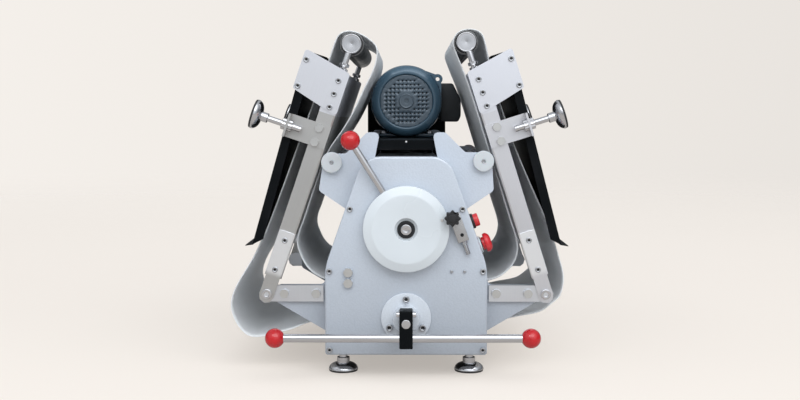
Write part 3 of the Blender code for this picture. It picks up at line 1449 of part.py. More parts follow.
star_axis = empty("star_axis", (STAR_X, star_face - STAR_STEM_LENGTH, STAR_Z))
lobed = [
    (
        (STAR_RADIUS - STAR_LOBE_DEPTH * (1 - math.cos(LOBE_COUNT * a))) * math.cos(a),
        (STAR_RADIUS - STAR_LOBE_DEPTH * (1 - math.cos(LOBE_COUNT * a))) * math.sin(a),
    )
    for a in (math.tau * i / (LOBE_COUNT * 6) for i in range(LOBE_COUNT * 6))
]
star_hub = STAR_RADIUS / 2
star = united("star_knob", [
    plate("star_knob", [lobed], -STAR_THICK, 0),
    cylinder("crown", (0, -STAR_THICK - CHAMFER, 0), (0, -STAR_THICK / 2, 0), star_hub),
    cylinder("stem", (0, -STAR_THICK / 2, 0),
             (0, STAR_STEM_LENGTH + ROD_SEAT - SEAT, 0), STAR_STEM, SMALL_COUNT),
])
placed(star, BLACK_PLASTIC, star_axis)

# Push buttons on the slanted side of the front cover
BUTTON_AXIS = Vector((WALL_OUT.x, 0, WALL_OUT.y))
for name, z in (("start_bezel", START_Z), ("stop_bezel", STOP_BUTTON_Z)):
    ring = [
        (bore(START_RADIUS, ROUND_COUNT), BEZEL_THICK),
        (BEZEL_RADIUS - CHAMFER / 2, BEZEL_THICK),
        (BEZEL_RADIUS, BEZEL_THICK - CHAMFER / 2),
        (BEZEL_RADIUS, 0),
        (bore(START_RADIUS, ROUND_COUNT), 0),
    ]
    bezel = turned(name, ring, button_point(z, SEAT), BUTTON_AXIS, ROUND_COUNT, True)
    placed(bezel, BLACK_PLASTIC, MACHINE)

start_axis = empty("start_axis", button_point(START_Z, 0))
start_low = START_TRAVEL + BUTTON_TRAVEL_GAP
start_top = BEZEL_THICK + START_HEIGHT
start = [
    (0, start_top),
    (START_RADIUS - CHAMFER, start_top),
    (START_RADIUS, start_top - CHAMFER),
    (START_RADIUS, start_low),
    (BUTTON_STEM, start_low),
    (BUTTON_STEM, -BUTTON_STEM_LENGTH),
    (0, -BUTTON_STEM_LENGTH),
]
placed(turned("start_button", start, (0, 0, 0), BUTTON_AXIS), BUTTON_RED, start_axis)

stop_axis = empty("stop_axis", button_point(STOP_BUTTON_Z, 0))
head_low = BEZEL_THICK + MUSHROOM_TRAVEL + BUTTON_TRAVEL_GAP
head_top = head_low + MUSHROOM_HEIGHT
stop_low = MUSHROOM_TRAVEL + BUTTON_TRAVEL_GAP
mushroom = [
    (0, head_top),
    (MUSHROOM_RADIUS * 2 / 3, head_top - CHAMFER),
    (MUSHROOM_RADIUS - CHAMFER, head_top - CHAMFER * 3),
    (MUSHROOM_RADIUS, head_top - MUSHROOM_HEIGHT / 2),
    (MUSHROOM_RADIUS - CHAMFER, head_low),
    (START_RADIUS, head_low),
    (START_RADIUS, stop_low),
    (BUTTON_STEM, stop_low),
    (BUTTON_STEM, -BUTTON_STEM_LENGTH),
    (0, -BUTTON_STEM_LENGTH),
]
placed(turned("stop_button", mushroom, (0, 0, 0), BUTTON_AXIS), BUTTON_RED, stop_axis)

# Conveyors, made upright in their own frames: x runs out and z runs along
TAB_THICK = 6 * MM
TAB_ALONG = RAIL_END - TAB_THICK
TAB_INNER = BELT_WIDTH / 2 + OVERRUN
EYE_Y = TAB_INNER + OVERRUN + EYE_THICK / 2
FOOT_PLATE_THICK = 4 * MM
BRACKET_ROUND = 5 * MM
STEM_LOW = TAB_ALONG - NUT_THICK - OVERRUN
FOOT_PLATE_FACE = BED_FACE + FOOT_PLATE_THICK
FOOT_AXIS_Y = FOOT_PLATE_FACE + FOOT_AXIS_FORWARD


def screws_on(face, faces_at, spots):
    """Cap screws on a conveyor's side at (along, out) spots."""
    return [
        cap_screw("screw", (out, face * faces_at, along), (0, face, 0))
        for along, out in spots
    ]


def bed_channel(side):
    """The bed: a channel open on its outer side, with no web near the pivots."""
    inner = -RAIL_HALF
    lip = BED_FACE - BED_SHEET
    section = rounded([
        (side * RAIL_HALF, -BED_FACE, 0),
        (side * inner, -BED_FACE, BED_BEND),
        (side * inner, BED_FACE, BED_BEND),
        (side * RAIL_HALF, BED_FACE, 0),
        (side * RAIL_HALF, lip, 0),
        (side * (inner + BED_SHEET), lip, BED_BEND - BED_SHEET),
        (side * (inner + BED_SHEET), -lip, BED_BEND - BED_SHEET),
        (side * RAIL_HALF, -lip, 0),
    ])
    bed = plate("bed_" + SIDE_NAMES[side], [section], -RAIL_END, -RAIL_START)
    moved(bed, Matrix.Rotation(-math.pi / 2, 4, "X"))
    low, high = sorted((side * (inner - OVERRUN), side * (inner + BED_BEND)))
    return boolean(bed, box("throat", (low, -BED_FACE + BED_BEND, RAIL_START - OVERRUN),
                            (high, BED_FACE - BED_BEND, BED_START)))


def bed_pieces(side, face):
    """What is welded or bolted to one side of a bed, with the heads of its screws."""
    start = BED_FACE - WELD_IN
    arm = plate("arm", [
        rounded([
            (-ARM_HALF, ARM_START, ARM_HALF - MM),
            (ARM_HALF, ARM_START, ARM_HALF - MM),
            (ARM_HALF, ARM_END, BRACKET_ROUND),
            (-ARM_HALF, ARM_END, BRACKET_ROUND),
        ]),
        circle(0, 0, bore(PIN_RADIUS)),
    ], *sorted((face * start, face * ARM_FACE)))
    arm = fastened(arm, screws_on(
        face, ARM_FACE - WELD_IN, [(ARM_END * a, 0) for a in ARM_SCREW_SHARES]))

    tray_face = BED_FACE + BRACKET_THICK
    holder = plate("tray_bracket", [rounded([
        (side * BRACKET_IN, BRACKET_LOW_IN, BRACKET_ROUND),
        (side * BRACKET_OUT, BRACKET_LOW_OUT, BRACKET_ROUND),
        (side * BRACKET_OUT, BRACKET_HIGH_OUT, BRACKET_ROUND),
        (side * BRACKET_IN, BRACKET_HIGH_IN, BRACKET_ROUND),
    ])], *sorted((face * start, face * tray_face)))
    spots = [(BRACKET_LOW_IN + BRACKET_LENGTH_IN * a, 0) for a in BRACKET_RAIL_SCREW_SHARES]
    spots += [
        (BRACKET_LOW_OUT + BRACKET_LENGTH_OUT * a, side * BRACKET_TRAY_SCREW_OUT)
        for a in BRACKET_TRAY_SCREW_SHARES
    ]
    holder = fastened(holder, screws_on(face, tray_face - WELD_IN, spots))

    web = plate("foot_bracket", [[
        (side * FOOT_PLATE_IN, FOOT_PLATE_LOW),
        (side * FOOT_PLATE_OUT, FOOT_PLATE_LOW),
        (side * FOOT_PLATE_OUT, FOOT_PLATE_HIGH),
        (side * FOOT_PLATE_IN, FOOT_PLATE_HIGH),
    ]], *sorted((face * start, face * FOOT_PLATE_FACE)))
    low, high = sorted((face * (start + WELD_IN), face * (FOOT_PLATE_FACE + FOOT_PLATE_FLANGE)))
    near, far = sorted((side * (FOOT_PLATE_OUT - FOOT_PLATE_THICK),
                        side * (FOOT_PLATE_OUT - WELD)))
    flange = box("flange", (near, low, FOOT_PLATE_LOW + WELD),
                 (far, high, FOOT_PLATE_HIGH - WELD))
    bolts = [
        hexagon_head("bolt", (side * FOOT_BOLT_OUT, face * (FOOT_PLATE_FACE - WELD_IN),
                              FOOT_PLATE_LOW + FOOT_PLATE_LENGTH * a),
                     (0, face, 0), FOOT_BOLT_FLAT, BOLT_HEIGHT)
        for a in FOOT_BOLT_SHARES
    ]
    bolts += [
        hexagon_head("nut", (side * at, face * FOOT_AXIS_Y, FOOT_AXIS_ALONG),
                     (side * sense, 0, 0), NUT_FLAT, NUT_THICK)
        for sense, at in (
            (1, FOOT_PLATE_OUT - WELD_IN),
            (-1, FOOT_PLATE_OUT - FOOT_PLATE_THICK + WELD_IN),
        )
    ]
    web = fastened(united("foot_bracket", [web, flange]), bolts)
    run = NUT_THICK + OVERRUN * 2
    boolean(web, cylinder("bore", (near - run, face * FOOT_AXIS_Y, FOOT_AXIS_ALONG),
                          (far + run, face * FOOT_AXIS_Y, FOOT_AXIS_ALONG),
                          bore(FOOT_STUD, BALL_COUNT), BALL_COUNT))

    low, high = sorted((face * TAB_INNER, face * (BED_FACE - BED_SHEET / 2)))
    tab = box("tab", (-ARM_HALF, low, TAB_ALONG), (ARM_HALF, high, RAIL_END - WELD))
    boolean(tab, cylinder("bore", (0, face * EYE_Y, TAB_ALONG - OVERRUN),
                          (0, face * EYE_Y, RAIL_END + OVERRUN), bore(EYE_STEM),
                          SMALL_COUNT))
    return [arm, holder, web, tab]


def make_tray(side):
    """The tray under the bed: a bent panel with two cheeks and a toe."""
    face_y = BED_FACE - WELD_IN - SEAT
    panel = [
        (side * TRAY_LIP_OUT, TRAY_TOP_ALONG),
        (side * TRAY_TOP_OUT, TRAY_TOP_ALONG),
        (side * TRAY_FOOT_OUT, TRAY_FOOT_ALONG),
        (side * (TRAY_FOOT_OUT + TRAY_TOE), TRAY_FOOT_ALONG - TRAY_TOE / 2),
    ]
    tray = [sheet_along("tray_" + SIDE_NAMES[side], panel, TRAY_SHEET, face_y)]
    cheek = [
        (side * (TRAY_TOP_OUT - TRAY_SIDE), TRAY_TOP_ALONG),
        (side * TRAY_TOP_OUT, TRAY_TOP_ALONG),
        (side * TRAY_FOOT_OUT, TRAY_FOOT_ALONG),
        (side * (TRAY_FOOT_OUT - TRAY_SIDE), TRAY_FOOT_ALONG + TRAY_SIDE),
    ]
    for face in SIDES:
        low, high = sorted((face * (face_y - TRAY_SHEET), face * (face_y - WELD)))
        tray.append(plate("cheek", [cheek], low, high))
    return united("tray_" + SIDE_NAMES[side], tray)


def make_conveyor(side):
    """One conveyor's bed, tray, tensioners, feet and end roller, on its fold axis."""
    name = SIDE_NAMES[side]
    fold = empty("fold_axis_" + name, (side * PIVOT_X, 0, PIVOT_Z), -side * LEANS[side])
    bed = bed_channel(side)
    pieces = bed_pieces(side, -1) + bed_pieces(side, 1)
    placed(united("bed_" + name, [bed, *pieces]), STEEL, fold)
    placed(make_tray(side), BLACK_PAINT, fold)

    # Eye bolts that carry and tension the end roller
    for face in SIDES:
        y = face * EYE_Y
        eye = cylinder("eye", (0, y - EYE_THICK / 2, REACH), (0, y + EYE_THICK / 2, REACH),
                       EYE_RADIUS)
        stem = cylinder("stem", (0, y, REACH - EYE_RADIUS / 2), (0, y, STEM_LOW), EYE_STEM,
                        SMALL_COUNT)
        nuts = [
            hexagon_head("nut", (0, y, at), (0, 0, sense), NUT_FLAT, NUT_THICK)
            for sense, at in ((1, RAIL_END + SEAT), (-1, TAB_ALONG - SEAT))
        ]
        eye = fastened(united("tensioner_" + name + "_" + FACE_NAMES[face], [eye, stem]), nuts)
        boolean(eye, cylinder("bore", (0, y - EYE_THICK, REACH), (0, y + EYE_THICK, REACH),
                              bore(BELT_ROLLER_SHAFT, ROUND_COUNT)))
        placed(smooth(eye), BRIGHT_STEEL, fold)
    spin = empty("end_roller_axis_" + name, (0, 0, REACH), 0, fold)
    reach = EYE_Y + EYE_THICK / 2
    shape = shaft_profile([
        (HALF_FACE, reach, BELT_ROLLER_SHAFT),
        (-HALF_FACE, HALF_FACE, BELT_ROLLER),
        (-reach, -HALF_FACE, BELT_ROLLER_SHAFT),
    ])
    placed(turned("end_roller_" + name, shape, (0, 0, 0), (0, 1, 0)), STEEL, spin)

    # Feet that stand on the table when the conveyor is down
    stem_top = FOOT_FACE_OUT - FOOT_STUD_IN
    dome = foot_dome(FOOT_DISC, FOOT_HEIGHT, FOOT_STUD, FOOT_HEIGHT * SOLE_SHARE)
    profile = shaft_profile([(FOOT_HEIGHT, stem_top, FOOT_STUD)])[:-1] + dome[1:]
    for face in SIDES:
        slide = empty("foot_axis_" + name + "_" + FACE_NAMES[face],
                      (side * FOOT_FACE_OUT, face * FOOT_AXIS_Y, FOOT_AXIS_ALONG), 0, fold)
        foot = turned("support_foot_" + name + "_" + FACE_NAMES[face], profile, (0, 0, 0),
                      (-side, 0, 0), BALL_COUNT)
        placed(foot, BRIGHT_STEEL, slide)


for side in SIDES:
    make_conveyor(side)

# Belts: each runs round its end roller and its drive roller, and hangs slack when folded
BELT_WAY = BELT_ROLLER + SEAT * 2 + BELT_THICK / 2
BED_WAY = RAIL_HALF + SEAT + BELT_THICK
# Shares of the slack's size below the pivots; above them, of the reach and the tray's foot
SLACK = 100 * MM
HANG_SHARES = {
    -1: ((-0.35, -0.92), (-0.64, -0.56), (-0.97, 0.12), (-0.46, 0.64)),
    1: ((-0.31, -0.70), (-0.36, -0.19), (-0.27, 0.10), (-0.16, 0.30), (0.16, 0.46)),
}
RUN_SHARES = {
    -1: ((0.124, 0.86), (0.268, 0.735), (0.735, 0.614), (0.910, 0.57)),
    1: ((0.108, 0.86), (0.201, 0.852), (0.281, 0.807), (0.427, 0.654), (0.585, 0.529),
        (0.840, 0.50), (0.915, 0.575)),
}
# Between the right drive roller and its hanging loop the belt dips to just over the base
DIP_CLEAR = 9 * MM
DIP_SHARES = {
    -1: (),
    1: ((0.015, 0.62), (0.14, 0.945), (0.34, 1.0), (0.51, 0.86), (0.645, 0.64), (0.78, 0.53)),
}
WRAP_SHARES = {-1: 1.0, 1: 0.5}
# How far the belt stands off its end roller, outside and inside, as shares of its way
OUTER_SHARES = {-1: 1.30, 1: 1.45}
INNER_SHARES = {-1: 2.1, 1: 1.0}
# Shares of the bed above its throat and of the sag, and of the throat's height and the slack
SAG = 36 * MM
# The sag starts just above the rest disc, wherever the end roller stands
SAG_FOOT = 282.725 * MM
SAG_FOOT_SHARE = 0.425
BED_SHARES = {
    -1: ((0.947, 1.0), (0.885, 0.97), (0.82, 0.86), (0.766, 0.80), (0.67, 0.66), (0.582, 0.44),
         (0.50, 0.17), (0.425, 0.02), (0.30, 0), (0.099, 0), (0.0154, 0)),
    1: ((0.794, 0), (0.42, 0), (0.099, 0), (0.0154, 0)),
}
THROAT_SHARES = {
    -1: ((0.856, -0.286), (0.583, -0.623), (0.516, -1.073)),
    1: ((0.843, -0.23), (0.619, -0.401), (0.484, -0.71), (0.477, -0.986)),
}
ARC_COUNT = 6
PATH_COUNT = 2


def bed_along(share, sag):
    """How far up the conveyor a point over the bed lies: where it sags, counted from the
    sag's foot, and from the bed's start where it lies flat."""
    if sag:
        past_foot = (share - SAG_FOOT_SHARE) / (1 - SAG_FOOT_SHARE)
        return SAG_FOOT + (REACH - SAG_FOOT) * past_foot
    return BED_START + (REACH - BED_START) * share


def belt_route(side):
    """A belt's middle line in machine (x, z): out and up the slack, then down the bed."""
    hang = [in_machine(side, SLACK * a, SLACK * b) for a, b in HANG_SHARES[side]]
    inner = side * (DRIVE_X - BELT_WAY)
    depth = DRIVE_Z - COVER_FOOT_Z - BASE_THICK - DIP_CLEAR
    points = [
        (inner + (hang[0][0] - inner) * a, DRIVE_Z - depth * b) for a, b in DIP_SHARES[side]
    ] + hang
    points += [in_machine(side, REACH * a, TRAY_FOOT_OUT * b) for a, b in RUN_SHARES[side]]
    for step in range(ARC_COUNT + 1):
        angle = math.pi * step / ARC_COUNT
        stand = OUTER_SHARES[side] if step * 2 < ARC_COUNT else INNER_SHARES[side]
        points.append(in_machine(side, REACH + BELT_WAY * math.sin(angle),
                                 BELT_WAY * math.cos(angle) * stand))
    points += [
        in_machine(side, bed_along(a, b), -BED_WAY - SAG * b) for a, b in BED_SHARES[side]
    ]
    points += [in_machine(side, BED_START * a, SLACK * b) for a, b in THROAT_SHARES[side]]
    for step in range(ARC_COUNT + 1):
        angle = math.pi / 2 - math.pi * WRAP_SHARES[side] * step / ARC_COUNT
        points.append((side * (DRIVE_X - BELT_WAY * math.cos(angle)),
                       DRIVE_Z + BELT_WAY * math.sin(angle)))
    return points


for side in SIDES:
    path = smooth_path(belt_route(side), PATH_COUNT)
    length = sum((Vector(b) - Vector(a)).length for a, b in zip(path, path[1:] + path[:1]))
    print("belt", SIDE_NAMES[side], "length", round(length, 3), "m")
    belt = plate("belt_" + SIDE_NAMES[side], [*band(path, BELT_THICK)],
                 -BELT_WIDTH / 2, BELT_WIDTH / 2)
    placed(smooth(belt), BELT_FABRIC, MACHINE)
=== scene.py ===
import math

import bpy
import numpy as np
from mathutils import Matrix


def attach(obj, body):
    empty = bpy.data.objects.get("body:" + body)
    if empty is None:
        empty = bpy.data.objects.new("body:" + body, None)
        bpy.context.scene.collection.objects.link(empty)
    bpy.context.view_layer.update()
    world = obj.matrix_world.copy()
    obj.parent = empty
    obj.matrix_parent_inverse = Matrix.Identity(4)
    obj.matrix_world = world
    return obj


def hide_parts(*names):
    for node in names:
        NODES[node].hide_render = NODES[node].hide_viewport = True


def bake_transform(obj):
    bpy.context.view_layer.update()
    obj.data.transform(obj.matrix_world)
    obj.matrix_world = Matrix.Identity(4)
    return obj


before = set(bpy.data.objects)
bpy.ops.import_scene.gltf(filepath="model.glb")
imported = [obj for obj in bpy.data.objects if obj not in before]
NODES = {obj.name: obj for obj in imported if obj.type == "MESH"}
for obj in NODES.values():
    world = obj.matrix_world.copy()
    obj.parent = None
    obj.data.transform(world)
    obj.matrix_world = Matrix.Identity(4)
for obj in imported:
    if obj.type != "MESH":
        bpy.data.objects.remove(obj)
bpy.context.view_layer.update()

TAU = math.tau

# Sizes that the pieces share with the solids, in metres, +Z up and -Y to the front.
# MIDDLE moves what is measured from the machine's own middle into the row frame.
MIDDLE = np.array([0.015, 0.0, 0.0])
FRONT = np.array([0.0, -1.0, 0.0])
UP = np.array([0.0, 0.0, 1.0])
BALL_RADIUS = 0.0185
SCREW_SOCKET, SCREW_HEIGHT = 0.0029, 0.0042
MOTOR_Z = 0.535
COVER_FACE = 0.3173
PIVOT = np.array([0.2705, 0.157])
LEANS = {-1: math.radians(18.8), 1: math.radians(17.6)}
REACH = 0.511
RAIL_END = 0.452
BED_START = 0.114
BELT_WIDTH = 0.500
BELT_THICK = 0.002
ROLLER_HALF = BELT_WIDTH / 2
THIN_ROLLER = 0.023
BELT_WAY = 0.0246
BED_WAY = 0.0193
DRIVE = np.array([0.088, 0.147])
SIDES = {-1: "left", 1: "right"}
ENDS = {-1: "front", 1: "rear"}


def here(x, y, z):
    """A point measured from the machine's own middle, in the row frame."""
    return np.array([x, y, z], float) + MIDDLE


# Shapes. A shape is its points and its faces; each function says how the points come about.


def eased(corners, ease, steps=4, closed=True):
    """Corners rounded off. Round a corner p the curve runs from a to b as
    (1-t)^2 a + 2t(1-t) p + t^2 b, with a and b up to `ease` from p along its two sides."""
    p = np.asarray(corners, float)
    ease = np.array(np.broadcast_to(ease, len(p)), float)
    if not closed:
        ease[[0, -1]] = 0
    t = np.linspace(0, 1, steps)[None, :, None]

    def towards(other):
        way = other - p
        size = np.maximum(np.linalg.norm(way, axis=1), 1e-9)
        return (p + way * np.minimum(ease / size, 0.48)[:, None])[:, None]

    a, b = towards(np.roll(p, 1, 0)), towards(np.roll(p, -1, 0))
    curve = ((1 - t) ** 2 * a + 2 * t * (1 - t) * p[:, None] + t**2 * b).reshape(-1, p.shape[1])
    keep = np.linalg.norm(curve - np.roll(curve, 1, 0), axis=1) > 1e-7
    keep[0] = True
    return curve[keep]


def volume(points, faces):
    """Six times the signed volume: the sum over fan triangles of a . (b x c)."""
    fan = [(f[0], f[k], f[k + 1]) for f in faces for k in range(1, len(f) - 1)]
    a, b, c = (points[list(column)] for column in zip(*fan))
    return float(np.einsum("ij,ij->i", a, np.cross(b, c)).sum())


def outward(points, faces):
    """The shape with its faces turned to point out of it."""
    return points, faces if volume(points, faces) > 0 else [face[::-1] for face in faces]


def skin(rings, looped=False):
    """Quads between neighbouring rings of points, point j of ring i at index i*n + j, and a
    flat face on the first and last ring unless the rings close on themselves. The faces
    come out pointing outwards."""
    m, n = rings.shape[:2]
    i, j = np.meshgrid(np.arange(m if looped else m - 1), np.arange(n), indexing="ij")
    low, high = i * n, (i + 1) % m * n
    faces = np.stack([low + j, low + (j + 1) % n, high + (j + 1) % n, high + j], -1)
    faces = faces.reshape(-1, 4).tolist()
    if not looped:
        faces += [list(range(n))[::-1], list(range((m - 1) * n, m * n))]
    return outward(rings.reshape(-1, 3), faces)


def turned(corners, ease, steps, around, ring=False):
    """Corners (radius, height) rounded off and spun: a solid, or a ring round a bore."""
    return spun(eased(corners, ease, steps, ring), around, ring)


def spun(profile, around=72, looped=False):
    """A profile of (radius, height) rows spun round +Z: x = r cos a, y = r sin a, z = h. A
    third column blends the round ring (0) into a hexagon (1), whose radius at angle a is
    r cos 30 / cos((a mod 60) - 30)."""
    profile = np.asarray(profile, float)
    angle = np.arange(around) * TAU / around
    flats = math.cos(math.pi / 6) / np.cos(angle % (math.pi / 3) - math.pi / 6)
    hexed = profile[:, 2:3] if profile.shape[1] > 2 else 0.0
    radius = profile[:, :1] * (1 - hexed + hexed * flats[None])
    height = np.broadcast_to(profile[:, 1:2], radius.shape)
    return skin(np.stack([radius * np.cos(angle), radius * np.sin(angle), height], -1), looped)


def stacked(outline, rows):
    """A closed outline in x and y carried up +Z: each row (inset, height) draws it in by
    `inset` along its own normal, so that the rim comes out rounded."""
    outline = np.asarray(outline, float)
    along = np.roll(outline, -1, 0) - np.roll(outline, 1, 0)
    along /= np.linalg.norm(along, axis=1, keepdims=True)
    inward = np.stack([-along[:, 1], along[:, 0]], -1)
    rows = np.asarray(rows, float)
    flat = outline[None] + inward[None] * rows[:, :1, None]
    height = np.broadcast_to(rows[:, 1, None], flat.shape[:2])
    return skin(np.concatenate([flat, height[..., None]], -1))


def rim(height, ease, steps=5):
    """Rows for `stacked`: up from 0 to `height`, with quarter rounds of radius `ease`:
    inset = ease (1 - cos t), height = ease (1 - sin t) at the foot and its mirror on top."""
    t = np.linspace(math.pi / 2, 0, steps)
    foot = np.stack([ease * (1 - np.cos(t)), ease * (1 - np.sin(t))], -1)
    top = np.stack([foot[::-1, 0], height - foot[::-1, 1]], -1)
    return np.concatenate([foot, top])


def ball():
    """A hand ball round the origin: r cos v across and r sin v up, v from pole to pole."""
    v = np.linspace(-math.pi / 2 + 0.02, math.pi / 2 - 0.02, 40)
    return spun(BALL_RADIUS * np.stack([np.cos(v), np.sin(v)], -1), 64)


def towards(shape, at, axis):
    """A shape made on +Z, turned so that +Z points along `axis`, with its origin at `at`."""
    points, faces = shape
    z = np.asarray(axis, float) / np.linalg.norm(axis)
    x = np.cross(UP if abs(z[2]) < 0.9 else FRONT, z)
    x /= np.linalg.norm(x)
    return points @ np.stack([x, np.cross(z, x), z]) + np.asarray(at, float), faces


def joined(*shapes):
    """Several shapes as one, each face's indices moved on by the points before it."""
    points, faces, count = [], [], 0
    for some, its_faces in shapes:
        points.append(some)
        faces += [[index + count for index in face] for face in its_faces]
        count += len(some)
    return np.concatenate(points), faces


def rod(start, end, radius):
    """A round bar between two points, its ends rounded off."""
    start, end = np.asarray(start, float), np.asarray(end, float)
    length = float(np.linalg.norm(end - start))
    corners = [(0.0002, 0), (radius, 0), (radius, length), (0.0002, length)]
    return towards(turned(corners, 0.0008, 5, 48), start, end - start)


def block(low, high, ease=0.001, steps=4):
    """A box with rounded edges all round: a rounded rectangle carried up with a rounded rim."""
    low, high = np.asarray(low, float), np.asarray(high, float)
    x, y, z = (high - low) / 2
    corners = [(-x, -y), (x, -y), (x, y), (-x, y)]
    points, faces = stacked(eased(corners, ease, steps), rim(z * 2, ease, steps))
    return points + (low + high) / 2 - np.array([0, 0, z]), faces


def pressed(outline, y_back, y_front, ease):
    """A plate from an outline in (x, z): carried forward from y_back, edges rounded."""
    points, faces = stacked(outline, rim(y_back - y_front, ease, 4))
    return np.stack([points[:, 0], y_back - points[:, 2], points[:, 1]], -1), faces


def finished(name, shape, finish, body, stands_for=(), angle=38.0):
    """Makes the mesh, shades it smooth up to `angle`, and tells the frame what it rides on."""
    points, faces = shape
    mesh = bpy.data.meshes.new(name)
    mesh.from_pydata(points.tolist(), [], faces)
    mesh.validate()
    mesh.shade_smooth()
    mesh.set_sharp_from_angle(angle=math.radians(angle))
    mesh.materials.append(finish)
    piece = bpy.data.objects.new(name, mesh)
    bpy.context.scene.collection.objects.link(piece)
    if body:
        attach(piece, body)
    if stands_for:
        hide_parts(*stands_for)
    return piece


# Finishes


class Wire:
    """A socket. Adding to it, taking away or multiplying adds a Math node."""

    def __init__(self, graph, socket):
        self.graph = graph
        self.socket = socket

    def sum_of(self, operation, first, second):
        return self.graph.node("Math", {"operation": operation}, (first, second))

    def __add__(self, other):
        return self.sum_of("ADD", self, other)

    def __sub__(self, other):
        return self.sum_of("SUBTRACT", self, other)

    def __rsub__(self, other):
        return self.sum_of("SUBTRACT", other, self)

    def __mul__(self, other):
        return self.sum_of("MULTIPLY", self, other)

    __radd__ = __add__
    __rmul__ = __mul__

    def between(self, low, high):
        """How far the value has come from low to high, eased, from 0 to 1."""
        return self.graph.node("MapRange", {"interpolation_type": "SMOOTHSTEP"},
            (self, low, high, 0.0, 1.0))


class Graph:
    """A node tree that nodes are added to."""

    def __init__(self, tree):
        self.tree = tree

    def node(self, kind, settings, inputs, output=0):
        """Adds a node: its settings come first, then the values or wires of its sockets."""
        made = self.tree.nodes.new("ShaderNode" + kind)
        for key, value in settings.items():
            setattr(made, key, value)
        pairs = inputs.items() if isinstance(inputs, dict) else enumerate(inputs)
        for key, value in pairs:
            if isinstance(value, Wire):
                self.tree.links.new(value.socket, made.inputs[key])
            else:
                made.inputs[key].default_value = value
        return Wire(self, made.outputs[output])


class Finish(Graph):
    """A material with one shader. Constants sit on the shader; wires vary it."""

    def __init__(self, name, colour, roughness, metallic=0.0, **fixed):
        self.material = bpy.data.materials.new(name)
        self.material.use_nodes = True
        super().__init__(self.material.node_tree)
        self.shader = self.tree.nodes["Principled BSDF"]
        self.colour = (*colour, 1.0)
        self.shader.inputs["Base Color"].default_value = self.colour
        self.shader.inputs["Roughness"].default_value = roughness
        self.shader.inputs["Metallic"].default_value = metallic
        for socket, value in fixed.items():
            self.shader.inputs[socket.replace("_", " ")].default_value = value
        self.place = self.node("TexCoord", {}, (), "Object")

    def axis(self, which, turn=0.0):
        """One coordinate of the place, 0 to 2 for x to z, after a turn round Y."""
        turned = self.node("Mapping", {}, {"Vector": self.place, "Rotation": (0.0, turn, 0.0)})
        return self.node("SeparateXYZ", {}, (turned,), which)

    def stretched(self, scale, turn=0.0):
        """The place scaled along each axis, after a turn round Y that follows a leaning rail."""
        turned = self.node("Mapping", {}, {"Vector": self.place, "Rotation": (0.0, turn, 0.0)})
        return self.node("Mapping", {}, {"Vector": turned, "Scale": scale})

    def noise(self, scale, detail=2.0, place=None, rough=0.5):
        sockets = {"Vector": place or self.place, "Scale": scale, "Detail": detail, "Roughness": rough}
        return self.node("TexNoise", {}, sockets)

    def cells(self, scale, feature="F1"):
        return self.node("TexVoronoi", {"feature": feature}, {"Vector": self.place, "Scale": scale})

    def blend(self, share, first, second):
        """A colour between two."""
        def whole(colour):
            return colour if isinstance(colour, Wire) else (*colour[:3], 1.0)
        return self.node("Mix", {"data_type": "RGBA"}, {0: share, 6: whole(first), 7: whole(second)}, 2)

    def shaded(self, share, dark):
        """The finish's own colour, darkened towards `dark` times itself where share is 1."""
        low = tuple(channel * dark for channel in self.colour[:3])
        return self.blend(share, self.colour, low)

    def bump(self, height, strength, distance):
        sockets = {"Strength": strength, "Distance": distance, "Height": height}
        return self.node("Bump", {}, sockets, "Normal")

    def wired(self, **links):
        """Joins wires to the shader's sockets and hands back the material."""
        for socket, wire in links.items():
            self.tree.links.new(wire.socket, self.shader.inputs[socket.replace("_", " ")])
        return self.material


def hammered_paint(name="hammered silver paint", colour=(0.580, 0.635, 0.715)):
    """Silver paint that dries in small dimples, with painted shade in the dips and painted shade low down,
    where the paint darkens towards the bottom as if lit from above.
    """
    f = Finish(name, colour, 0.36, 0.12, Coat_Weight=0.25, Coat_Roughness=0.2)
    dimples = f.cells(330.0, feature="SMOOTH_F1")
    grain = f.noise(900.0, 2.0)
    cloud = f.noise(5.0, 3.0)
    # Painted shade: the dips of the dimples are coloured darker.
    shaded_dips = dimples.between(0.15, 0.75)
    # Painted shade: foot darkens the paint towards the bottom, standing in for light that falls from above.
    foot = 1 - f.axis(2).between(0.02, 0.36)
    colour = f.shaded(foot * 0.68 + shaded_dips * 0.10 + cloud.between(0.35, 0.75) * 0.11 + grain * 0.07, 0.60)
    return f.wired(Base_Color=colour, Roughness=0.30 + cloud * 0.10 + grain * 0.05,
        Normal=f.bump(1 - shaded_dips + grain * 0.15, 0.16, 0.0006))


def coated(name, colour, patches, grain, rough, metallic=0.0, **fixed):
    """One colour with soft patches of another and a fine relief. patches: scale, detail, where
    they start and are full, how much they count, their colour or how dark. grain: scale,
    detail, strength, depth; without it the patches give the relief. rough: the roughness, and
    what the patches, the patches eased, and the grain add to it."""
    f = Finish(name, colour, rough[0], metallic, **fixed)
    scale, detail, low, high, count, other = patches
    cloud = f.noise(scale, detail)
    eased_cloud = cloud.between(low, high)
    fine = f.noise(*grain[:2]) if len(grain) == 4 else cloud
    share = eased_cloud * count if count < 1 else eased_cloud
    roughness = rough[0]
    for wire, added in zip((cloud, eased_cloud, fine), rough[1:]):
        if added:
            roughness = wire * added + roughness
    base = f.blend(share, f.colour, other) if isinstance(other, tuple) else f.shaded(share, other)
    return f.wired(Base_Color=base, Roughness=roughness, Normal=f.bump(fine, *grain[-2:]))


def black_plastic(name, colour):
    """Black plastic with a fine spark-eroded grain."""
    return coated(name, colour, (16.0, 3.0, 0.45, 0.9, 1, (0.028, 0.030, 0.033)),
        (1300.0, 2.0, 0.06, 0.0002), (0.28, 0.06, 0, 0.12), Specular_IOR_Level=0.3)


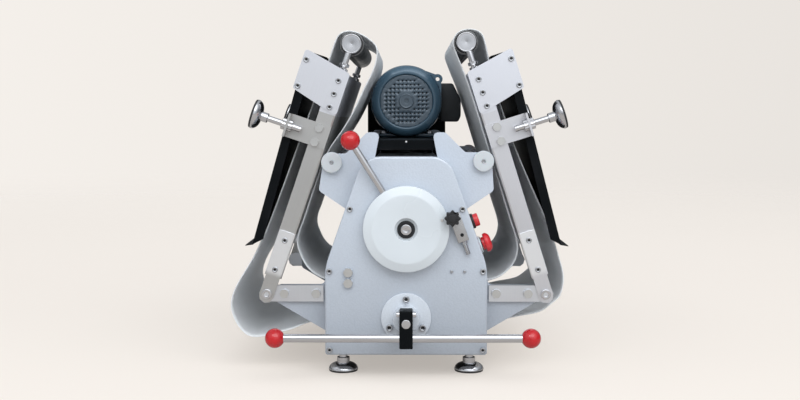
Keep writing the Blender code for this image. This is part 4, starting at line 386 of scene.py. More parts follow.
def motor_enamel(name, colour, dusty):
    """Slate-blue enamel over pressed sheet: glossy, with orange peel and settled dust."""
    return coated(name, colour, (13.0, 4.0, 0.5, 0.9, 0.6, dusty), (210.0, 2.0, 0.08, 0.0005),
        (0.24, 0, 0.22, 0), 0.15, Coat_Weight=0.3, Coat_Roughness=0.16)


def brushed(name, turn, colour=(0.60, 0.60, 0.605)):
    """Stainless sheet, brushed along a rail that leans by `turn`: noise drawn out 60 to 1."""
    f = Finish(name, colour, 0.30, 1.0)
    lines = f.noise(1.0, 3.0, f.stretched((900.0, 900.0, 14.0), turn), 0.6)
    haze = f.noise(7.0, 3.0)
    scratch = f.noise(1.0, 1.0, f.stretched((1600.0, 1600.0, 30.0), turn)).between(0.70, 0.80)
    colour = f.shaded(lines * 0.5 + haze.between(0.4, 0.8) * 0.5, 0.80)
    return f.wired(Base_Color=colour, Roughness=0.22 + lines * 0.14 + haze * 0.08 + scratch * 0.1,
        Normal=f.bump(lines, 0.06, 0.0003))


def rail(name, turn, arm_top, colour):
    """A conveyor's brushed rail; the arm at its foot is smoother and paler, and dull again
    round the pivot, and the tray's bracket at its head is paler too. The place along the rail
    is read in the rail's own lean."""
    f = Finish(name, colour, 0.32, 1.0)
    lines = f.noise(1.0, 3.0, f.stretched((900.0, 900.0, 14.0), turn), 0.6)
    haze = f.noise(7.0, 3.0)
    up = f.axis(2, turn)
    arm = (1 - up.between(arm_top, arm_top + 0.001)) * up.between(arm_top - 0.092, arm_top - 0.080)
    head = up.between(arm_top + 0.241, arm_top + 0.242)
    bare = f.shaded(lines * 0.45 + haze.between(0.4, 0.8) * 0.45, 0.80)
    bare = f.blend(head * (1 - lines * 0.3), bare, (0.74, 0.75, 0.80))
    return f.wired(Base_Color=f.blend(arm, bare, (0.86, 0.87, 0.89)),
        Roughness=0.26 + lines * 0.12 + haze * 0.08 - arm * 0.06, Normal=f.bump(lines, 0.05, 0.0003))


def polished(name, colour, low, high):
    """Plated steel: mirror bright with smudges that take the shine off."""
    f = Finish(name, colour, low, 1.0)
    smudge = f.noise(28.0, 4.0)
    fine = f.noise(420.0, 2.0)
    return f.wired(Base_Color=f.shaded(smudge.between(0.5, 0.85), 0.85),
        Roughness=low + smudge.between(0.35, 0.8) * (high - low) + fine * 0.03,
        Normal=f.bump(fine, 0.02, 0.0002))


def machined():
    """Milled steel: crossing fine cuts that sparkle."""
    f = Finish("milled steel", (0.56, 0.56, 0.57), 0.30, 1.0)
    cuts = f.noise(1.0, 2.0, f.stretched((2400.0, 300.0, 180.0), 0.35))
    specks = f.cells(1500.0)
    return f.wired(Base_Color=f.shaded(cuts * 0.8, 0.6), Roughness=0.18 + cuts * 0.25,
        Normal=f.bump(cuts + specks * 0.6, 0.35, 0.0005))


def polished_red():
    """Cast red resin, polished to a deep gloss, with faint swirls and hairline scuffs."""
    f = Finish("polished red resin", (0.54, 0.006, 0.012), 0.14, 0.0, Coat_Weight=0.25, Coat_Roughness=0.06)
    swirl = f.noise(36.0, 4.0)
    scuff = f.noise(160.0, 3.0).between(0.62, 0.8)
    return f.wired(Base_Color=f.shaded(swirl.between(0.35, 0.8), 0.78), Roughness=0.07 + scuff * 0.18,
        Normal=f.bump(swirl, 0.02, 0.0006))


def belt_cloth():
    """White coated belt cloth: a fine weave read along the belt, flour-dull and faintly soiled."""
    f = Finish("white belt cloth", (0.85, 0.88, 0.91), 0.55, 0.0, Subsurface_Weight=0.5,
        Subsurface_Scale=0.006, Subsurface_Radius=(1.0, 1.0, 1.0), Specular_IOR_Level=0.3)
    weave_place = f.node("UVMap", {"uv_map": "belt"}, ())
    weft = f.node("TexWave", {"bands_direction": "Y"}, {"Vector": weave_place, "Scale": 210.0})
    warp = f.node("TexWave", {"bands_direction": "X"}, {"Vector": weave_place, "Scale": 210.0})
    weave = weft * 0.5 + warp * 0.5
    soil = f.noise(9.0, 4.0).between(0.45, 0.85)
    fine = f.noise(70.0, 3.0)
    return f.wired(Base_Color=f.shaded(soil * 0.5 + fine * 0.15 + weave * 0.12, 0.90),
        Roughness=0.46 + fine * 0.16 + soil * 0.1, Normal=f.bump(weave + fine * 0.4, 0.10, 0.0003))


PAINT = hammered_paint()
# Painted light: the same silver paint as the covers, made paler for the lever's flange so that it looks lit.
PAINT_WITH_PAINTED_LIGHT = hammered_paint("silver paint with painted light", (0.80, 0.86, 0.94))
ENAMEL = coated("white enamel", (0.655, 0.705, 0.745), (9.0, 3.0, 0.4, 0.8, 1, 0.93),
    (260.0, 2.0, 0.05, 0.0004), (0.20, 0.12, 0, 0), Coat_Weight=0.2, Coat_Roughness=0.14)
NYLON = coated("white nylon", (0.57, 0.605, 0.635), (40.0, 3.0, 0.45, 0.85, 1, 0.9),
    (500.0, 2.0, 0.05, 0.0003), (0.40, 0, 0, 0.15), Subsurface_Weight=0.05)
STAINLESS = brushed("brushed stainless", 0.0)
# Painted light and shade: both rails are the same brushed steel, but the left one is coloured darker and the
# right one lighter.
RAIL_STEEL = {
    -1: rail("left rail with painted shade", -LEANS[-1], 0.1933, (0.54, 0.535, 0.525)),
    1: rail("right rail with painted light", LEANS[1], 0.1903, (0.70, 0.70, 0.73)),
}
BAR_STEEL = brushed("satin bar steel", 0.0, (0.74, 0.76, 0.80))
CHROME = polished("plated steel", (0.58, 0.58, 0.60), 0.10, 0.28)
ROLLER_STEEL = polished("ground roller steel", (0.22, 0.22, 0.22), 0.26, 0.42)
SCREW_STEEL = polished("zinc screw", (0.42, 0.43, 0.45), 0.24, 0.42)
PALE_STEEL = polished("pale zinc", (0.60, 0.60, 0.59), 0.28, 0.44)
DARK_STEEL = coated("dark steel", (0.022, 0.024, 0.027), (14.0, 4.0, 0.4, 0.8, 1, 0.7),
    (600.0, 2.0, 0.05, 0.0003), (0.28, 0.18, 0, 0), 0.3, Specular_IOR_Level=0.3)
# Painted shade: a near-black finish for the dark pieces that stand in for the shade inside screw sockets.
SOCKET_SHADE_FINISH = black_plastic("painted socket shade", (0.010, 0.010, 0.011))
MILLED = machined()
BLACK = coated("black gloss paint", (0.004, 0.005, 0.006), (11.0, 5.0, 0.45, 0.9, 1, (0.012, 0.013, 0.015)),
    (180.0, 2.0, 0.06, 0.0004), (0.42, 0, 0.2, 0), Specular_IOR_Level=0.05)
MOULDED = black_plastic("black moulded plastic", (0.022, 0.022, 0.024))
BOX_PLASTIC = black_plastic("charcoal box plastic", (0.030, 0.033, 0.036))
RED = polished_red()
BUTTON = coated("red button plastic", (0.60, 0.014, 0.022), (90.0, 3.0, 0.45, 0.9, 0.35,
    (0.72, 0.16, 0.17)), (0.03, 0.0003), (0.22, 0.14, 0, 0), Coat_Weight=0.25, Coat_Roughness=0.2)
BLUE = motor_enamel("slate blue enamel", (0.050, 0.105, 0.155), (0.085, 0.135, 0.180))
GRILLE_BLUE = motor_enamel("dusty blue enamel", (0.085, 0.120, 0.155), (0.16, 0.19, 0.21))
CLOTH = belt_cloth()
RUBBER = coated("black rubber", (0.020, 0.020, 0.021), (400.0, 3.0, 0.5, 0.9, 1, (0.05, 0.05, 0.05)),
    (0.2, 0.0004), (0.6, 0.2, 0, 0))

# Every solid that keeps its own mesh gets its finish here.
KEPT = (
    (PAINT, "front_cover rear_cover side_plate_front side_plate_rear"),
    (BLACK, "pulley_cover motor_bridge tray_left tray_right"), (DARK_STEEL, "base_pan"),
    (STAINLESS, "guard_left guard_right roller_carriage"),
    (RAIL_STEEL[-1], "bed_left"), (RAIL_STEEL[1], "bed_right"),
    (BAR_STEEL, "pivot_bar_left_front pivot_bar_left_rear pivot_bar_right_front pivot_bar_right_rear"),
)
for finish, node_names in KEPT:
    for node_name in node_names.split():
        solid = NODES[node_name]
        solid.data.materials.clear()
        solid.data.materials.append(finish)


# Places


def in_machine(side, along, out):
    """Conveyor points (along, out) as machine (x, z): along the leaning rail from its pivot,
    out square to it. Works on whole arrays."""
    lean = LEANS[side]
    x = PIVOT[0] - math.sin(lean) * np.asarray(along) + math.cos(lean) * np.asarray(out)
    z = PIVOT[1] + math.cos(lean) * np.asarray(along) + math.sin(lean) * np.asarray(out)
    return side * x, z


def on_conveyor(side, along, out, y):
    """The same point in the row frame."""
    x, z = in_machine(side, along, out)
    return here(float(x), float(y), float(z))


def rail_way(side):
    """The direction along a folded conveyor, and the one square to it, outwards."""
    along = np.array([-side * math.sin(LEANS[side]), 0.0, math.cos(LEANS[side])])
    return along, np.array([side * math.cos(LEANS[side]), 0.0, math.sin(LEANS[side])])


# Small hardware


def cap_screw(radius=0.0056, height=SCREW_HEIGHT, socket=SCREW_SOCKET):
    """A cap screw's head: a domed rim, and a hexagon socket sunk in its top."""
    return spun(np.concatenate([np.pad(eased([(radius, 0), (radius, height), (socket * 1.25, height)],
        0.0011, 4, False), ((0, 0), (0, 1))), [(socket * 1.15, height - 0.0002, 0.6),
        (socket, height - 0.0005, 1), (socket * 0.96, height - 0.0028, 1)]]), 36)


def bolt_head(radius, height):
    """A hexagon head, its top corners turned off to a round chamfer."""
    return spun([(radius, 0, 1), (radius, height - 0.0011, 1), (radius * 0.93, height, 0.25),
        (radius * 0.80, height, 0), (radius * 0.78, height - 0.0002, 0)], 48)


def nut(radius, thick, bore):
    """A hexagon nut with both corners turned off, and its bore."""
    return spun([(bore, 0, 0), (radius * 0.84, 0, 0), (radius * 0.96, 0.0006, 0.5), (radius, 0.0014, 1),
        (radius, thick - 0.0014, 1), (radius * 0.96, thick - 0.0006, 0.5), (radius * 0.84, thick, 0),
        (bore, thick, 0)], 48, looped=True)


def spread(shape, spots, axis):
    """Copies of a small shape at many spots, all facing along one axis."""
    return joined(*[towards(shape, spot, axis) for spot in spots])


def shade_in_socket(radius=SCREW_SOCKET, height=SCREW_HEIGHT):
    """Painted shade for a screw's socket: a low dark hexagon with a dished top, set at the socket's bottom.
    """
    foot, top = height - 0.0030, height - 0.0009
    return spun([(0.0003, foot, 1), (radius * 0.97, foot, 1), (radius * 0.97, top, 1),
        (radius * 0.5, top - 0.0005, 0.6), (0.0003, top - 0.0006, 0)], 36)


def sockets(name, spots, *size):
    """The same painted shade at the bottom of every screw socket of a group on the cover."""
    finished(name, spread(shade_in_socket(*size), spots, FRONT), SOCKET_SHADE_FINISH, "frame")


# Front cover: cap screws, two hexagon bolts and two rivets
cover_face_y = -COVER_FACE
cover_spots = [(107.2, 324.4), (147, 205), (147, 53)]
cover_spots = [here(side * x / 1000, cover_face_y - 0.0001, z / 1000) for x, z in cover_spots
    for side in (-1, 1)]
finished("cover_screws", spread(cap_screw(), cover_spots, FRONT), SCREW_STEEL, "frame")
sockets("cover_screw_socket_shades", cover_spots)
bolt_spots = [here(-0.1110, cover_face_y, z) for z in (0.203, 0.1825)]
finished("cover_bolts", spread(bolt_head(0.0094, 0.0070), bolt_spots, FRONT), PALE_STEEL, "frame")
rivet = turned([(0.0030, 0), (0.0030, 0.0036), (0.0003, 0.0036)], 0.0020, 6, 24)
rivet_spots = [here(x, cover_face_y, 0.205) for x in (0.0870, 0.1119)]
finished("cover_rivets", spread(rivet, rivet_spots, FRONT), SCREW_STEEL, "frame")

# Thickness dial: a turned disc with a domed face, its rod, ball, washer and shaft end
DIAL = here(0.0, -COVER_FACE - 0.001, 0.2876)
dial_profile = eased([(0.0102, 0), (0.0808, 0), (0.082, 0.0012), (0.082, 0.0198), (0.0814, 0.021),
    (0.0672, 0.0262), (0.0648, 0.027), (0.0215, 0.027), (0.0215, 0.021), (0.0102, 0.021)], [0.0001, 0.0006,
    0.0006, 0.0012, 0.0012, 0.0022, 0.0030, 0.0011, 0.0006, 0.0001], 6)
finished("dial_face", towards(spun(dial_profile, 160, looped=True), DIAL, FRONT), ENAMEL, "dial",
    ["dial_disc"], 50)
dial_angle = math.radians(122)


def dial_point(reach):
    """A point on the slanted dial rod: polar about the dial, rising towards the ball."""
    height = 0.011 + (0.023 - 0.011) / (0.198 - 0.082) * (reach - 0.082)
    return DIAL + [math.cos(dial_angle) * reach, -height, math.sin(dial_angle) * reach]


finished("dial_handle", rod(dial_point(0.074), dial_point(0.189), 0.0065), CHROME, "dial",
    ["dial_rod"])
finished("dial_knob", towards(ball(), dial_point(0.198), FRONT), RED, "dial",
    ["dial_ball"], 80)
washer = turned([(0.0104, 0.0212), (0.017, 0.0212), (0.017, 0.0243), (0.0104, 0.0243)], 0.0006, 4, 96,
    ring=True)
shaft_end = spun(np.concatenate([np.pad(eased([(0.010, -0.0455), (0.010, 0.0303), (0.0042, 0.0303)], 0.0008,
    4, False), ((0, 0), (0, 1))), [(0.0040, 0.0301, 0.5), (0.0038, 0.0298, 1), (0.0036, 0.0262, 1)]]), 72)
finished("dial_spindle", towards(shaft_end, DIAL, FRONT), CHROME, "dial",
    ["dial_shaft"])
finished("dial_washer", towards(washer, DIAL, FRONT), DARK_STEEL, "dial")
mark = turned([(0.0030, 0), (0.0030, 0.0008), (0.0003, 0.0008)], 0.0006, 4, 24)
mark_at = DIAL + [0.0675, -0.0254, 0.018]
finished("dial_mark", towards(mark, mark_at, FRONT), PALE_STEEL, "dial")

# Reversing lever: flange and hub on the cover, block, cross rod and two balls
LEVER = here(0.0, -COVER_FACE - 0.0003, 0.116)
flange_profile = eased([(0.0088, 0), (0.048, 0), (0.048, 0.006), (0.0253, 0.006), (0.0250, 0.033),
    (0.0088, 0.033)], [0.0001, 0.0004, 0.0016, 0.0016, 0.0015, 0.0003], 6)
# The flange's paler paint is painted light.
finished("lever_boss", towards(spun(flange_profile, 120, looped=True), LEVER, FRONT), PAINT_WITH_PAINTED_LIGHT, "frame",
    ["lever_flange"])
flange_spots = [LEVER + [0.0365 * math.cos(a), -0.0060, 0.0365 * math.sin(a)] for a in (math.pi / 2,
    math.pi * 7 / 6, math.pi * 11 / 6)]
finished("lever_boss_screws", spread(cap_screw(0.0066, 0.0062, 0.0036), flange_spots, FRONT), SCREW_STEEL,
    "frame")
sockets("lever_boss_socket_shades", flange_spots, 0.0036, 0.0062)
ARM = LEVER + [0.0, -0.0333, 0.0]
finished("lever_clamp", block(ARM + [-0.0125, -0.042, -0.047], ARM + [0.0125, 0.0, 0.024], 0.0024, 5),
    BLACK, "lever", ["lever_block"])
pin = eased([(0.0003, -0.003), (0.0085, -0.003), (0.0085, 0.0432), (0.0078, 0.0438), (0.0003, 0.0438)],
    0.0008, 4, False)
clamp_screws = [towards(cap_screw(0.0054, 0.0066), ARM + [side * 0.0121, -0.021, 0.015], (side, 0, 0))
    for side in (-1, 1)]
finished("lever_pin", joined(towards(spun(pin, 64), ARM, FRONT), *clamp_screws), CHROME, "lever")
cross = ARM + [-0.006, -0.021, -0.030]
finished("lever_bar", rod(cross - [0.231, 0, 0], cross + [0.231, 0, 0], 0.008), CHROME, "lever",
    ["lever_rod"])
for side, word in SIDES.items():
    centre = cross + [side * 0.240, 0, 0]
    finished("lever_knob_" + word, towards(ball(), centre, (1, 0, 0)), RED, "lever",
        ["lever_ball_" + word], 80)

# Gap stop: a milled block with its stud, and the lobed knob that clamps it
STOP = here(0.100, -COVER_FACE - 0.0003, 0.290)
tilt = math.radians(20)
stop_way = np.array([-math.sin(tilt), 0.0, math.cos(tilt)])
stop_block = block((-0.011, -0.0065, -0.028), (0.011, 0.0065, 0.028), 0.0012)
stop_x = np.array([math.cos(tilt), 0.0, math.sin(tilt)])
stop_axes = np.stack([stop_x, [0.0, 1.0, 0.0], stop_way])
stop_middle = STOP + [0, -0.0065, 0]
finished("stop_block", (stop_block[0] @ stop_axes + stop_middle, stop_block[1]), MILLED, "frame",
    ["gap_stop"])
stop_foot = stop_middle - stop_way * 0.0282
finished("stop_stud", joined(rod(stop_foot + stop_way * 0.004, stop_foot - stop_way * 0.0262, 0.0046),
    towards(nut(0.0068, 0.0052, 0.0047), stop_foot, -stop_way)), SCREW_STEEL, "frame")
small_screw = STOP - stop_way * 0.0145 + [0.0012, -0.0130, 0]
finished("stop_screw", towards(cap_screw(0.0034, 0.0022, 0.0015), small_screw, FRONT), DARK_STEEL, "frame")
STAR = here(0.087, -COVER_FACE - 0.0313, 0.310)


def lobes(radius, depth, count):
    """A lobed outline: radius less depth (1 - cos(count a)) at angle a."""
    a = np.arange(96) * TAU / 96
    r = radius - depth * (1 - np.cos(count * a))
    return np.stack([r * np.cos(a), r * np.sin(a)], -1)


star_body = stacked(lobes(0.0155, 0.0016, 8), rim(0.014, 0.0024, 6))
star_cap = turned([(0.0078, 0.012), (0.0078, 0.0154), (0.0003, 0.0154)], 0.0012, 4, 48)
star_stem = turned([(0.0003, -0.0276), (0.0045, -0.0276), (0.0045, 0.001)], 0.0006, 4, 32)
finished("star_grip", joined(*[towards(shape, STAR, FRONT) for shape in (star_body, star_cap)]), MOULDED,
    "star_knob", ["star_knob"])
finished("star_stem", towards(star_stem, STAR, FRONT), SCREW_STEEL, "star_knob")

# Push buttons on the cover's slanted side
wall = np.array([-73.8, 0.0, 211.0]) / math.hypot(73.8, 211.0)
wall_out = np.array([wall[2], 0.0, -wall[0]])


def on_slant(z):
    """The point of the slanted wall at this height, half way back."""
    share = (z - 0.213) / (0.424 - 0.213)
    return here(0.1554 + (0.0816 - 0.1554) * share, -0.2948, z)


def button(name, z, cap, bezel, body):
    """A bezel ring and a cap on the slanted wall, from their profiles."""
    at = on_slant(z)
    finished(name + "_ring", towards(spun(bezel, 72, looped=True), at, wall_out), MOULDED, "frame",
        [name + "_bezel"])
    finished(name + "_cap", towards(spun(cap, 72), at, wall_out), BUTTON, body,
        [name + "_button"])


ring_profile = eased([(0.0128, 0.0003), (0.0147, 0.0003), (0.0147, 0.0053), (0.0128, 0.0053)],
    [0.0001, 0.0004, 0.0012, 0.0006], 5)
start_cap = eased([(0.006, -0.016), (0.006, 0.005), (0.0125, 0.005), (0.0125, 0.014), (0.0108, 0.0150),
    (0.0003, 0.0136)], [0, 0.0002, 0.0003, 0.0012, 0.0016, 0], 5, False)
stop_cap = eased([(0.006, -0.016), (0.006, 0.006), (0.0125, 0.006), (0.0125, 0.011), (0.0176, 0.011),
    (0.0185, 0.0140), (0.0185, 0.0175), (0.0130, 0.0235), (0.0003, 0.0240)], [0, 0.0002, 0.0002, 0.0004,
    0.0012, 0.0016, 0.0030, 0.0060, 0], 7, False)
button("start", 0.299, start_cap, ring_profile, "start_button")
button("stop", 0.254, stop_cap, ring_profile, "stop_button")
collar = eased([(0.0149, 0.0003), (0.0162, 0.0003), (0.0162, 0.0034), (0.0149, 0.0040)], 0.0005, 4)
finished("stop_collar", towards(spun(collar, 72, looped=True), on_slant(0.254), wall_out), NYLON, "frame")

# Discs that the folded conveyors lean on, with the rods between them
for side, word in SIDES.items():
    disc_x, disc_z = in_machine(side, 0.282, -0.017 - 0.0003 - 0.0202)
    disc_at = here(float(disc_x), 0.0, float(disc_z))
    discs, heads = [], []
    for face in (-1, 1):
        axis = np.array([0.0, face, 0.0])
        disc = eased([(0.0040, 0.2723), (0.0202, 0.2723), (0.0202, 0.2843), (0.0040, 0.2843)],
            [0.0001, 0.0006, 0.0020, 0.0008], 6)
        discs.append(towards(spun(disc, 96, looped=True), disc_at, axis))
        heads.append(towards(cap_screw(0.0038, 0.0046, 0.0020), disc_at + axis * 0.2801, axis))
    finished("rest_discs_" + word, joined(*discs), NYLON, "frame", ["rest_roller_" + word])
    bar = rod(disc_at - [0, 0.2722, 0], disc_at + [0, 0.2722, 0], 0.008)
    finished("rest_rod_" + word, joined(bar, *heads), SCREW_STEEL, "frame")

# Feet: a plated bell on a stud, on a black sole


def bell(radius, height, stem, top):
    """A foot's profile from the sole's edge up: the bell follows a quarter wave from its rim
    to its neck, then the stud."""
    t = np.linspace(0, 1, 14)
    neck = stem * 1.55
    sole = height * 0.12
    curve_r = neck + (radius - neck) * np.cos(t * math.pi / 2) ** 0.9
    curve_h = sole + 0.001 + (height - sole) * 0.52 * np.sin(t * math.pi / 2) ** 1.2
    curve = np.stack([curve_r, curve_h], -1)
    head = [(neck, height), (neck - 0.0012, height + 0.0008), (stem, height + 0.0008), (stem, top)]
    return np.concatenate([[(0.0003, sole), (radius - 0.0006, sole), (radius, sole + 0.0006)], curve[1:],
        head, [(0.0003, top)]])


def foot(name, node, at, axis, radius, height, stem, top, body):
    """One foot from its sole at `at` up along `axis`, in plated steel with a rubber sole."""
    sole = height * 0.12
    pad = eased([(0.0003, 0), (radius - 0.0012, 0), (radius - 0.0004, sole), (0.0003, sole)], 0.0008, 4,
        False)
    finished(name, towards(spun(bell(radius, height, stem, top), 96), at, axis), CHROME, body,
        [node], 42)
    finished(name + "_sole", towards(spun(pad, 72), at, axis), RUBBER, body)


for side, word in SIDES.items():
    for face, end in ENDS.items():
        at = here(side * 0.124, face * 0.255, 0.0)
        foot("table_bell_%s_%s" % (word, end), "table_foot_%s_%s" % (word, end), at, UP, 0.029, 0.027,
            0.008, 0.0427, "frame")
        finished("table_nut_%s_%s" % (word, end), towards(nut(0.0105, 0.0085, 0.0082), at + UP * 0.0332,
            UP), SCREW_STEEL, "frame")

# Conveyors: the faces of a rail's arm, tray bracket and foot plate, and where the foot sits
ARM_FACE, BRACKET_FACE, PLATE_FACE, FOOT_ALONG = 0.2864, 0.2844, 0.2854, 0.324
for side, word in SIDES.items():
    along, out = rail_way(side)
    body = "conveyor_" + word
    screws, small_bolts, nuts = [], [], []
    for face, end in ENDS.items():
        forward = np.array([0.0, face, 0.0])
        for share in (0.394, 0.866):
            spot = on_conveyor(side, 0.127 * share, 0, face * ARM_FACE)
            screws.append((spot, forward))
        for share in (0.15, 0.46, 0.77):
            spot = on_conveyor(side, 0.369 + 0.086 * share, 0, face * BRACKET_FACE)
            screws.append((spot, forward))
        for share in (0.09, 0.75):
            spot = on_conveyor(side, 0.394 + 0.080 * share, 0.071, face * BRACKET_FACE)
            screws.append((spot, forward))
        for share in (0.18, 0.80):
            spot = on_conveyor(side, 0.301 + 0.046 * share, 0.006, face * PLATE_FACE)
            small_bolts.append(towards(bolt_head(0.0088, 0.0070), spot, forward))
        axis_y = face * (PLATE_FACE + 0.017)
        for sense, at_out in ((1, 0.0662), (-1, 0.0638)):
            spot = on_conveyor(side, FOOT_ALONG, at_out, axis_y)
            nuts.append(towards(nut(0.0112, 0.0094, 0.0063), spot, out * sense))
        # Eye bolt that carries the end roller, with its two nuts on the rail's tab
        eye_y = face * 0.264
        eye_at = on_conveyor(side, REACH, 0, eye_y)
        eye = eased([(0.0083, 0.0040), (0.0083, -0.006), (0.0180, -0.006), (0.0195, -0.0046),
            (0.0195, 0.0040), (0.0184, 0.006), (0.0170, 0.006), (0.0164, 0.0055), (0.0158, 0.0055),
            (0.0003, 0.0055), (0.0003, 0.0040)], [0.0002, 0.0002, 0.001, 0.001, 0.0008, 0.0004, 0.0002,
            0.0001, 0.0001, 0.0001, 0.0001], 4)
        stem_foot = on_conveyor(side, RAIL_END - 0.019, 0, eye_y)
        stem_top = on_conveyor(side, REACH - 0.0185, 0, eye_y)
        tie = joined(towards(spun(eye, 96, looped=True), eye_at, forward), rod(stem_foot, stem_top, 0.006),
            towards(nut(0.0098, 0.009, 0.0062), on_conveyor(side, RAIL_END + 0.0003, 0, eye_y), along),
            towards(nut(0.0098, 0.007, 0.0062), on_conveyor(side, RAIL_END + 0.0125, 0, eye_y), along),
            towards(nut(0.0098, 0.009, 0.0062), on_conveyor(side, RAIL_END - 0.0063, 0, eye_y), -along))
        finished("eye_bolt_%s_%s" % (word, end), tie, CHROME, body,
            ["tensioner_%s_%s" % (word, end)])
        # Support foot on its stud
        slide = "support_foot_%s_%s" % (word, end)
        foot_at = on_conveyor(side, FOOT_ALONG, 0.134, axis_y)
        foot("support_bell_%s_%s" % (word, end), slide, foot_at, -out, 0.0285, 0.030, 0.006, 0.097, slide)
    finished("rail_screws_" + word, joined(*[towards(cap_screw(), *spot) for spot in screws]), SCREW_STEEL,
        body)
    # Painted shade in the sockets of the rail screws.
    finished("rail_screw_socket_shades_" + word, joined(*[towards(shade_in_socket(), *spot) for spot in screws]),
        SOCKET_SHADE_FINISH, body)
    finished("foot_bracket_bolts_" + word, joined(*small_bolts), PALE_STEEL, body)
    finished("foot_stud_nuts_" + word, joined(*nuts), CHROME, body)
    # Bolts and the pivot pin on the bars
    bar_bolts, pins = [], []
    for face in (-1, 1):
        forward = np.array([0.0, face, 0.0])
        for share in (0.13, 0.694):
            x = side * (0.161 + (PIVOT[0] - 0.161) * share)
            bar_bolts.append(towards(bolt_head(0.0092, 0.0072), here(x, face * 0.2799, PIVOT[1]), forward))
        pins.append((here(side * PIVOT[0], face * 0.2863, PIVOT[1]), forward))
    finished("bar_bolts_" + word, joined(*bar_bolts), PALE_STEEL, "frame")
    # Painted shade in the sockets of the pivot pins.
    finished("pivot_pin_socket_shades_" + word, joined(*[towards(shade_in_socket(0.0040, 0.0072), *spot)
        for spot in pins]), SOCKET_SHADE_FINISH, "frame")
    finished("pivot_pins_" + word, joined(*[towards(cap_screw(0.0098, 0.0072, 0.0040), *spot)
        for spot in pins]), CHROME, "frame")
    # End roller: a tube with sunk ends on its shaft
    roller_at = on_conveyor(side, REACH, 0, 0)
    half = ROLLER_HALF
    tube = eased([(0.0003, -half - 0.0175), (0.008, -half - 0.0175), (0.008, -half + 0.007),
        (0.0205, -half + 0.007), (0.0212, -half), (THIN_ROLLER, -half), (THIN_ROLLER, half), (0.0212, half),
        (0.0205, half - 0.007), (0.008, half - 0.007), (0.008, half + 0.0175), (0.0003, half + 0.0175)], [0,
        0.0006, 0.0002, 0.0004, 0.0004, 0.0006, 0.0006, 0.0004, 0.0004, 0.0002, 0.0006, 0], 4, False)
    finished("end_barrel_" + word, towards(spun(tube, 120), roller_at, (0, 1, 0)), ROLLER_STEEL,
        "end_roller_" + word, ["end_roller_" + word])

# Rollers inside the machine


def barrel(name, node, at, radius, shaft, half, reach, body):
    """A solid roller: its face with turned-off edges, and its shaft at both ends."""
    profile = eased([(0.0003, -reach), (shaft, -reach), (shaft, -half), (radius, -half), (radius, half),
        (shaft, half), (shaft, reach), (0.0003, reach)], [0, 0.0012, 0.0004, 0.0016, 0.0016, 0.0004, 0.0012,
        0], 5, False)
    finished(name, towards(spun(profile, 160), at, (0, 1, 0)), ROLLER_STEEL, body, [node])


barrel("lower_barrel", "lower_roller", here(0, 0, 0.128), 0.044, 0.014, ROLLER_HALF, 0.292, "lower_roller")
barrel("upper_barrel", "upper_roller", here(0, 0, 0.2343), 0.044, 0.014, ROLLER_HALF, 0.280, "upper_roller")
for side, word in SIDES.items():
    barrel("drive_barrel_" + word, "drive_roller_" + word, here(side * DRIVE[0], 0, DRIVE[1]), THIN_ROLLER,
        0.008, ROLLER_HALF, 0.292, "drive_roller_" + word)

# Motor: fan cover with its grille, finned stator, terminal box, fan and pulley
MOTOR = here(0.0, 0.010, MOTOR_Z)
COVER_LONG = 0.072
hood = eased([(0.0765, 0), (0.0785, 0), (0.0785, 0.0560), (0.0745, 0.0665), (0.0660, 0.0718),
    (0.0590, 0.0722), (0.0572, 0.0700), (0.0572, 0.0668), (0.0640, 0.0668), (0.0722, 0.0630),
    (0.0765, 0.0545)], [0.0003, 0.0005, 0.012, 0.006, 0.004, 0.0022, 0.0012, 0.0004, 0.006, 0.006, 0.010],
    7)
finished("fan_hood", towards(spun(hood, 160, looped=True), MOTOR + [0, COVER_LONG, 0], FRONT), BLUE,
    "frame", ["motor_fan_cover"], 50)


def perforated(radius, pitch, hole, middle):
    """A round plate on a grid of cells in x and z. Each cell holds four lines a pitch: the
    lines by a hole lie `hole` from the cell's middle. Cells over a hole are left open, and
    lines past the rim are drawn in to the circle."""
    reach = int(radius / pitch) + 1
    middles = np.arange(-reach, reach + 1) * pitch
    lines = np.sort(np.concatenate([middles - hole, middles + hole]))
    x, z = np.meshgrid(lines, lines, indexing="ij")
    away = np.hypot(x, z)
    shrink = np.where(away > radius, radius / np.maximum(away, 1e-9), 1.0)
    points = np.stack([x * shrink, np.zeros_like(x), z * shrink], -1)
    count = len(lines)
    i, j = np.meshgrid(np.arange(count - 1), np.arange(count - 1), indexing="ij")
    near = np.minimum.reduce([away[:-1, :-1], away[1:, :-1], away[:-1, 1:], away[1:, 1:]])
    cell_x = (lines[:-1] + lines[1:])[:, None] / 2 + 0 * i
    cell_z = (lines[:-1] + lines[1:])[None] / 2 + 0 * j
    middle_away = np.hypot(cell_x, cell_z)
    is_hole = (i % 2 == 0) & (j % 2 == 0) & (middle_away > middle) & (middle_away < radius - pitch * 0.95)
    keep = (near < radius - 1e-6) & ~is_hole
    a = i * count + j
    faces = np.stack([a, a + count, a + count + 1, a + 1], -1)[keep]
    return points.reshape(-1, 3), faces.tolist()


plate_points, plate_faces = perforated(0.0578, 0.0088, 0.0017, 0.0215)
grille = finished("fan_grille", (plate_points + MOTOR + [0, 0.0043, 0], plate_faces), GRILLE_BLUE, "frame")
wall_thick = grille.modifiers.new("sheet", "SOLIDIFY")
wall_thick.thickness = 0.0014
wall_thick.offset = 0.0
hub_boss = eased([(0.0046, 0), (0.0165, 0), (0.0165, 0.0022), (0.0150, 0.0034), (0.0125, 0.0028),
    (0.0046, 0.0028)], [0.0001, 0.0003, 0.0010, 0.0010, 0.0008, 0.0006], 5)
finished("fan_boss", towards(spun(hub_boss, 96, looped=True), MOTOR + [0, 0.0040, 0], FRONT), GRILLE_BLUE,
    "frame")
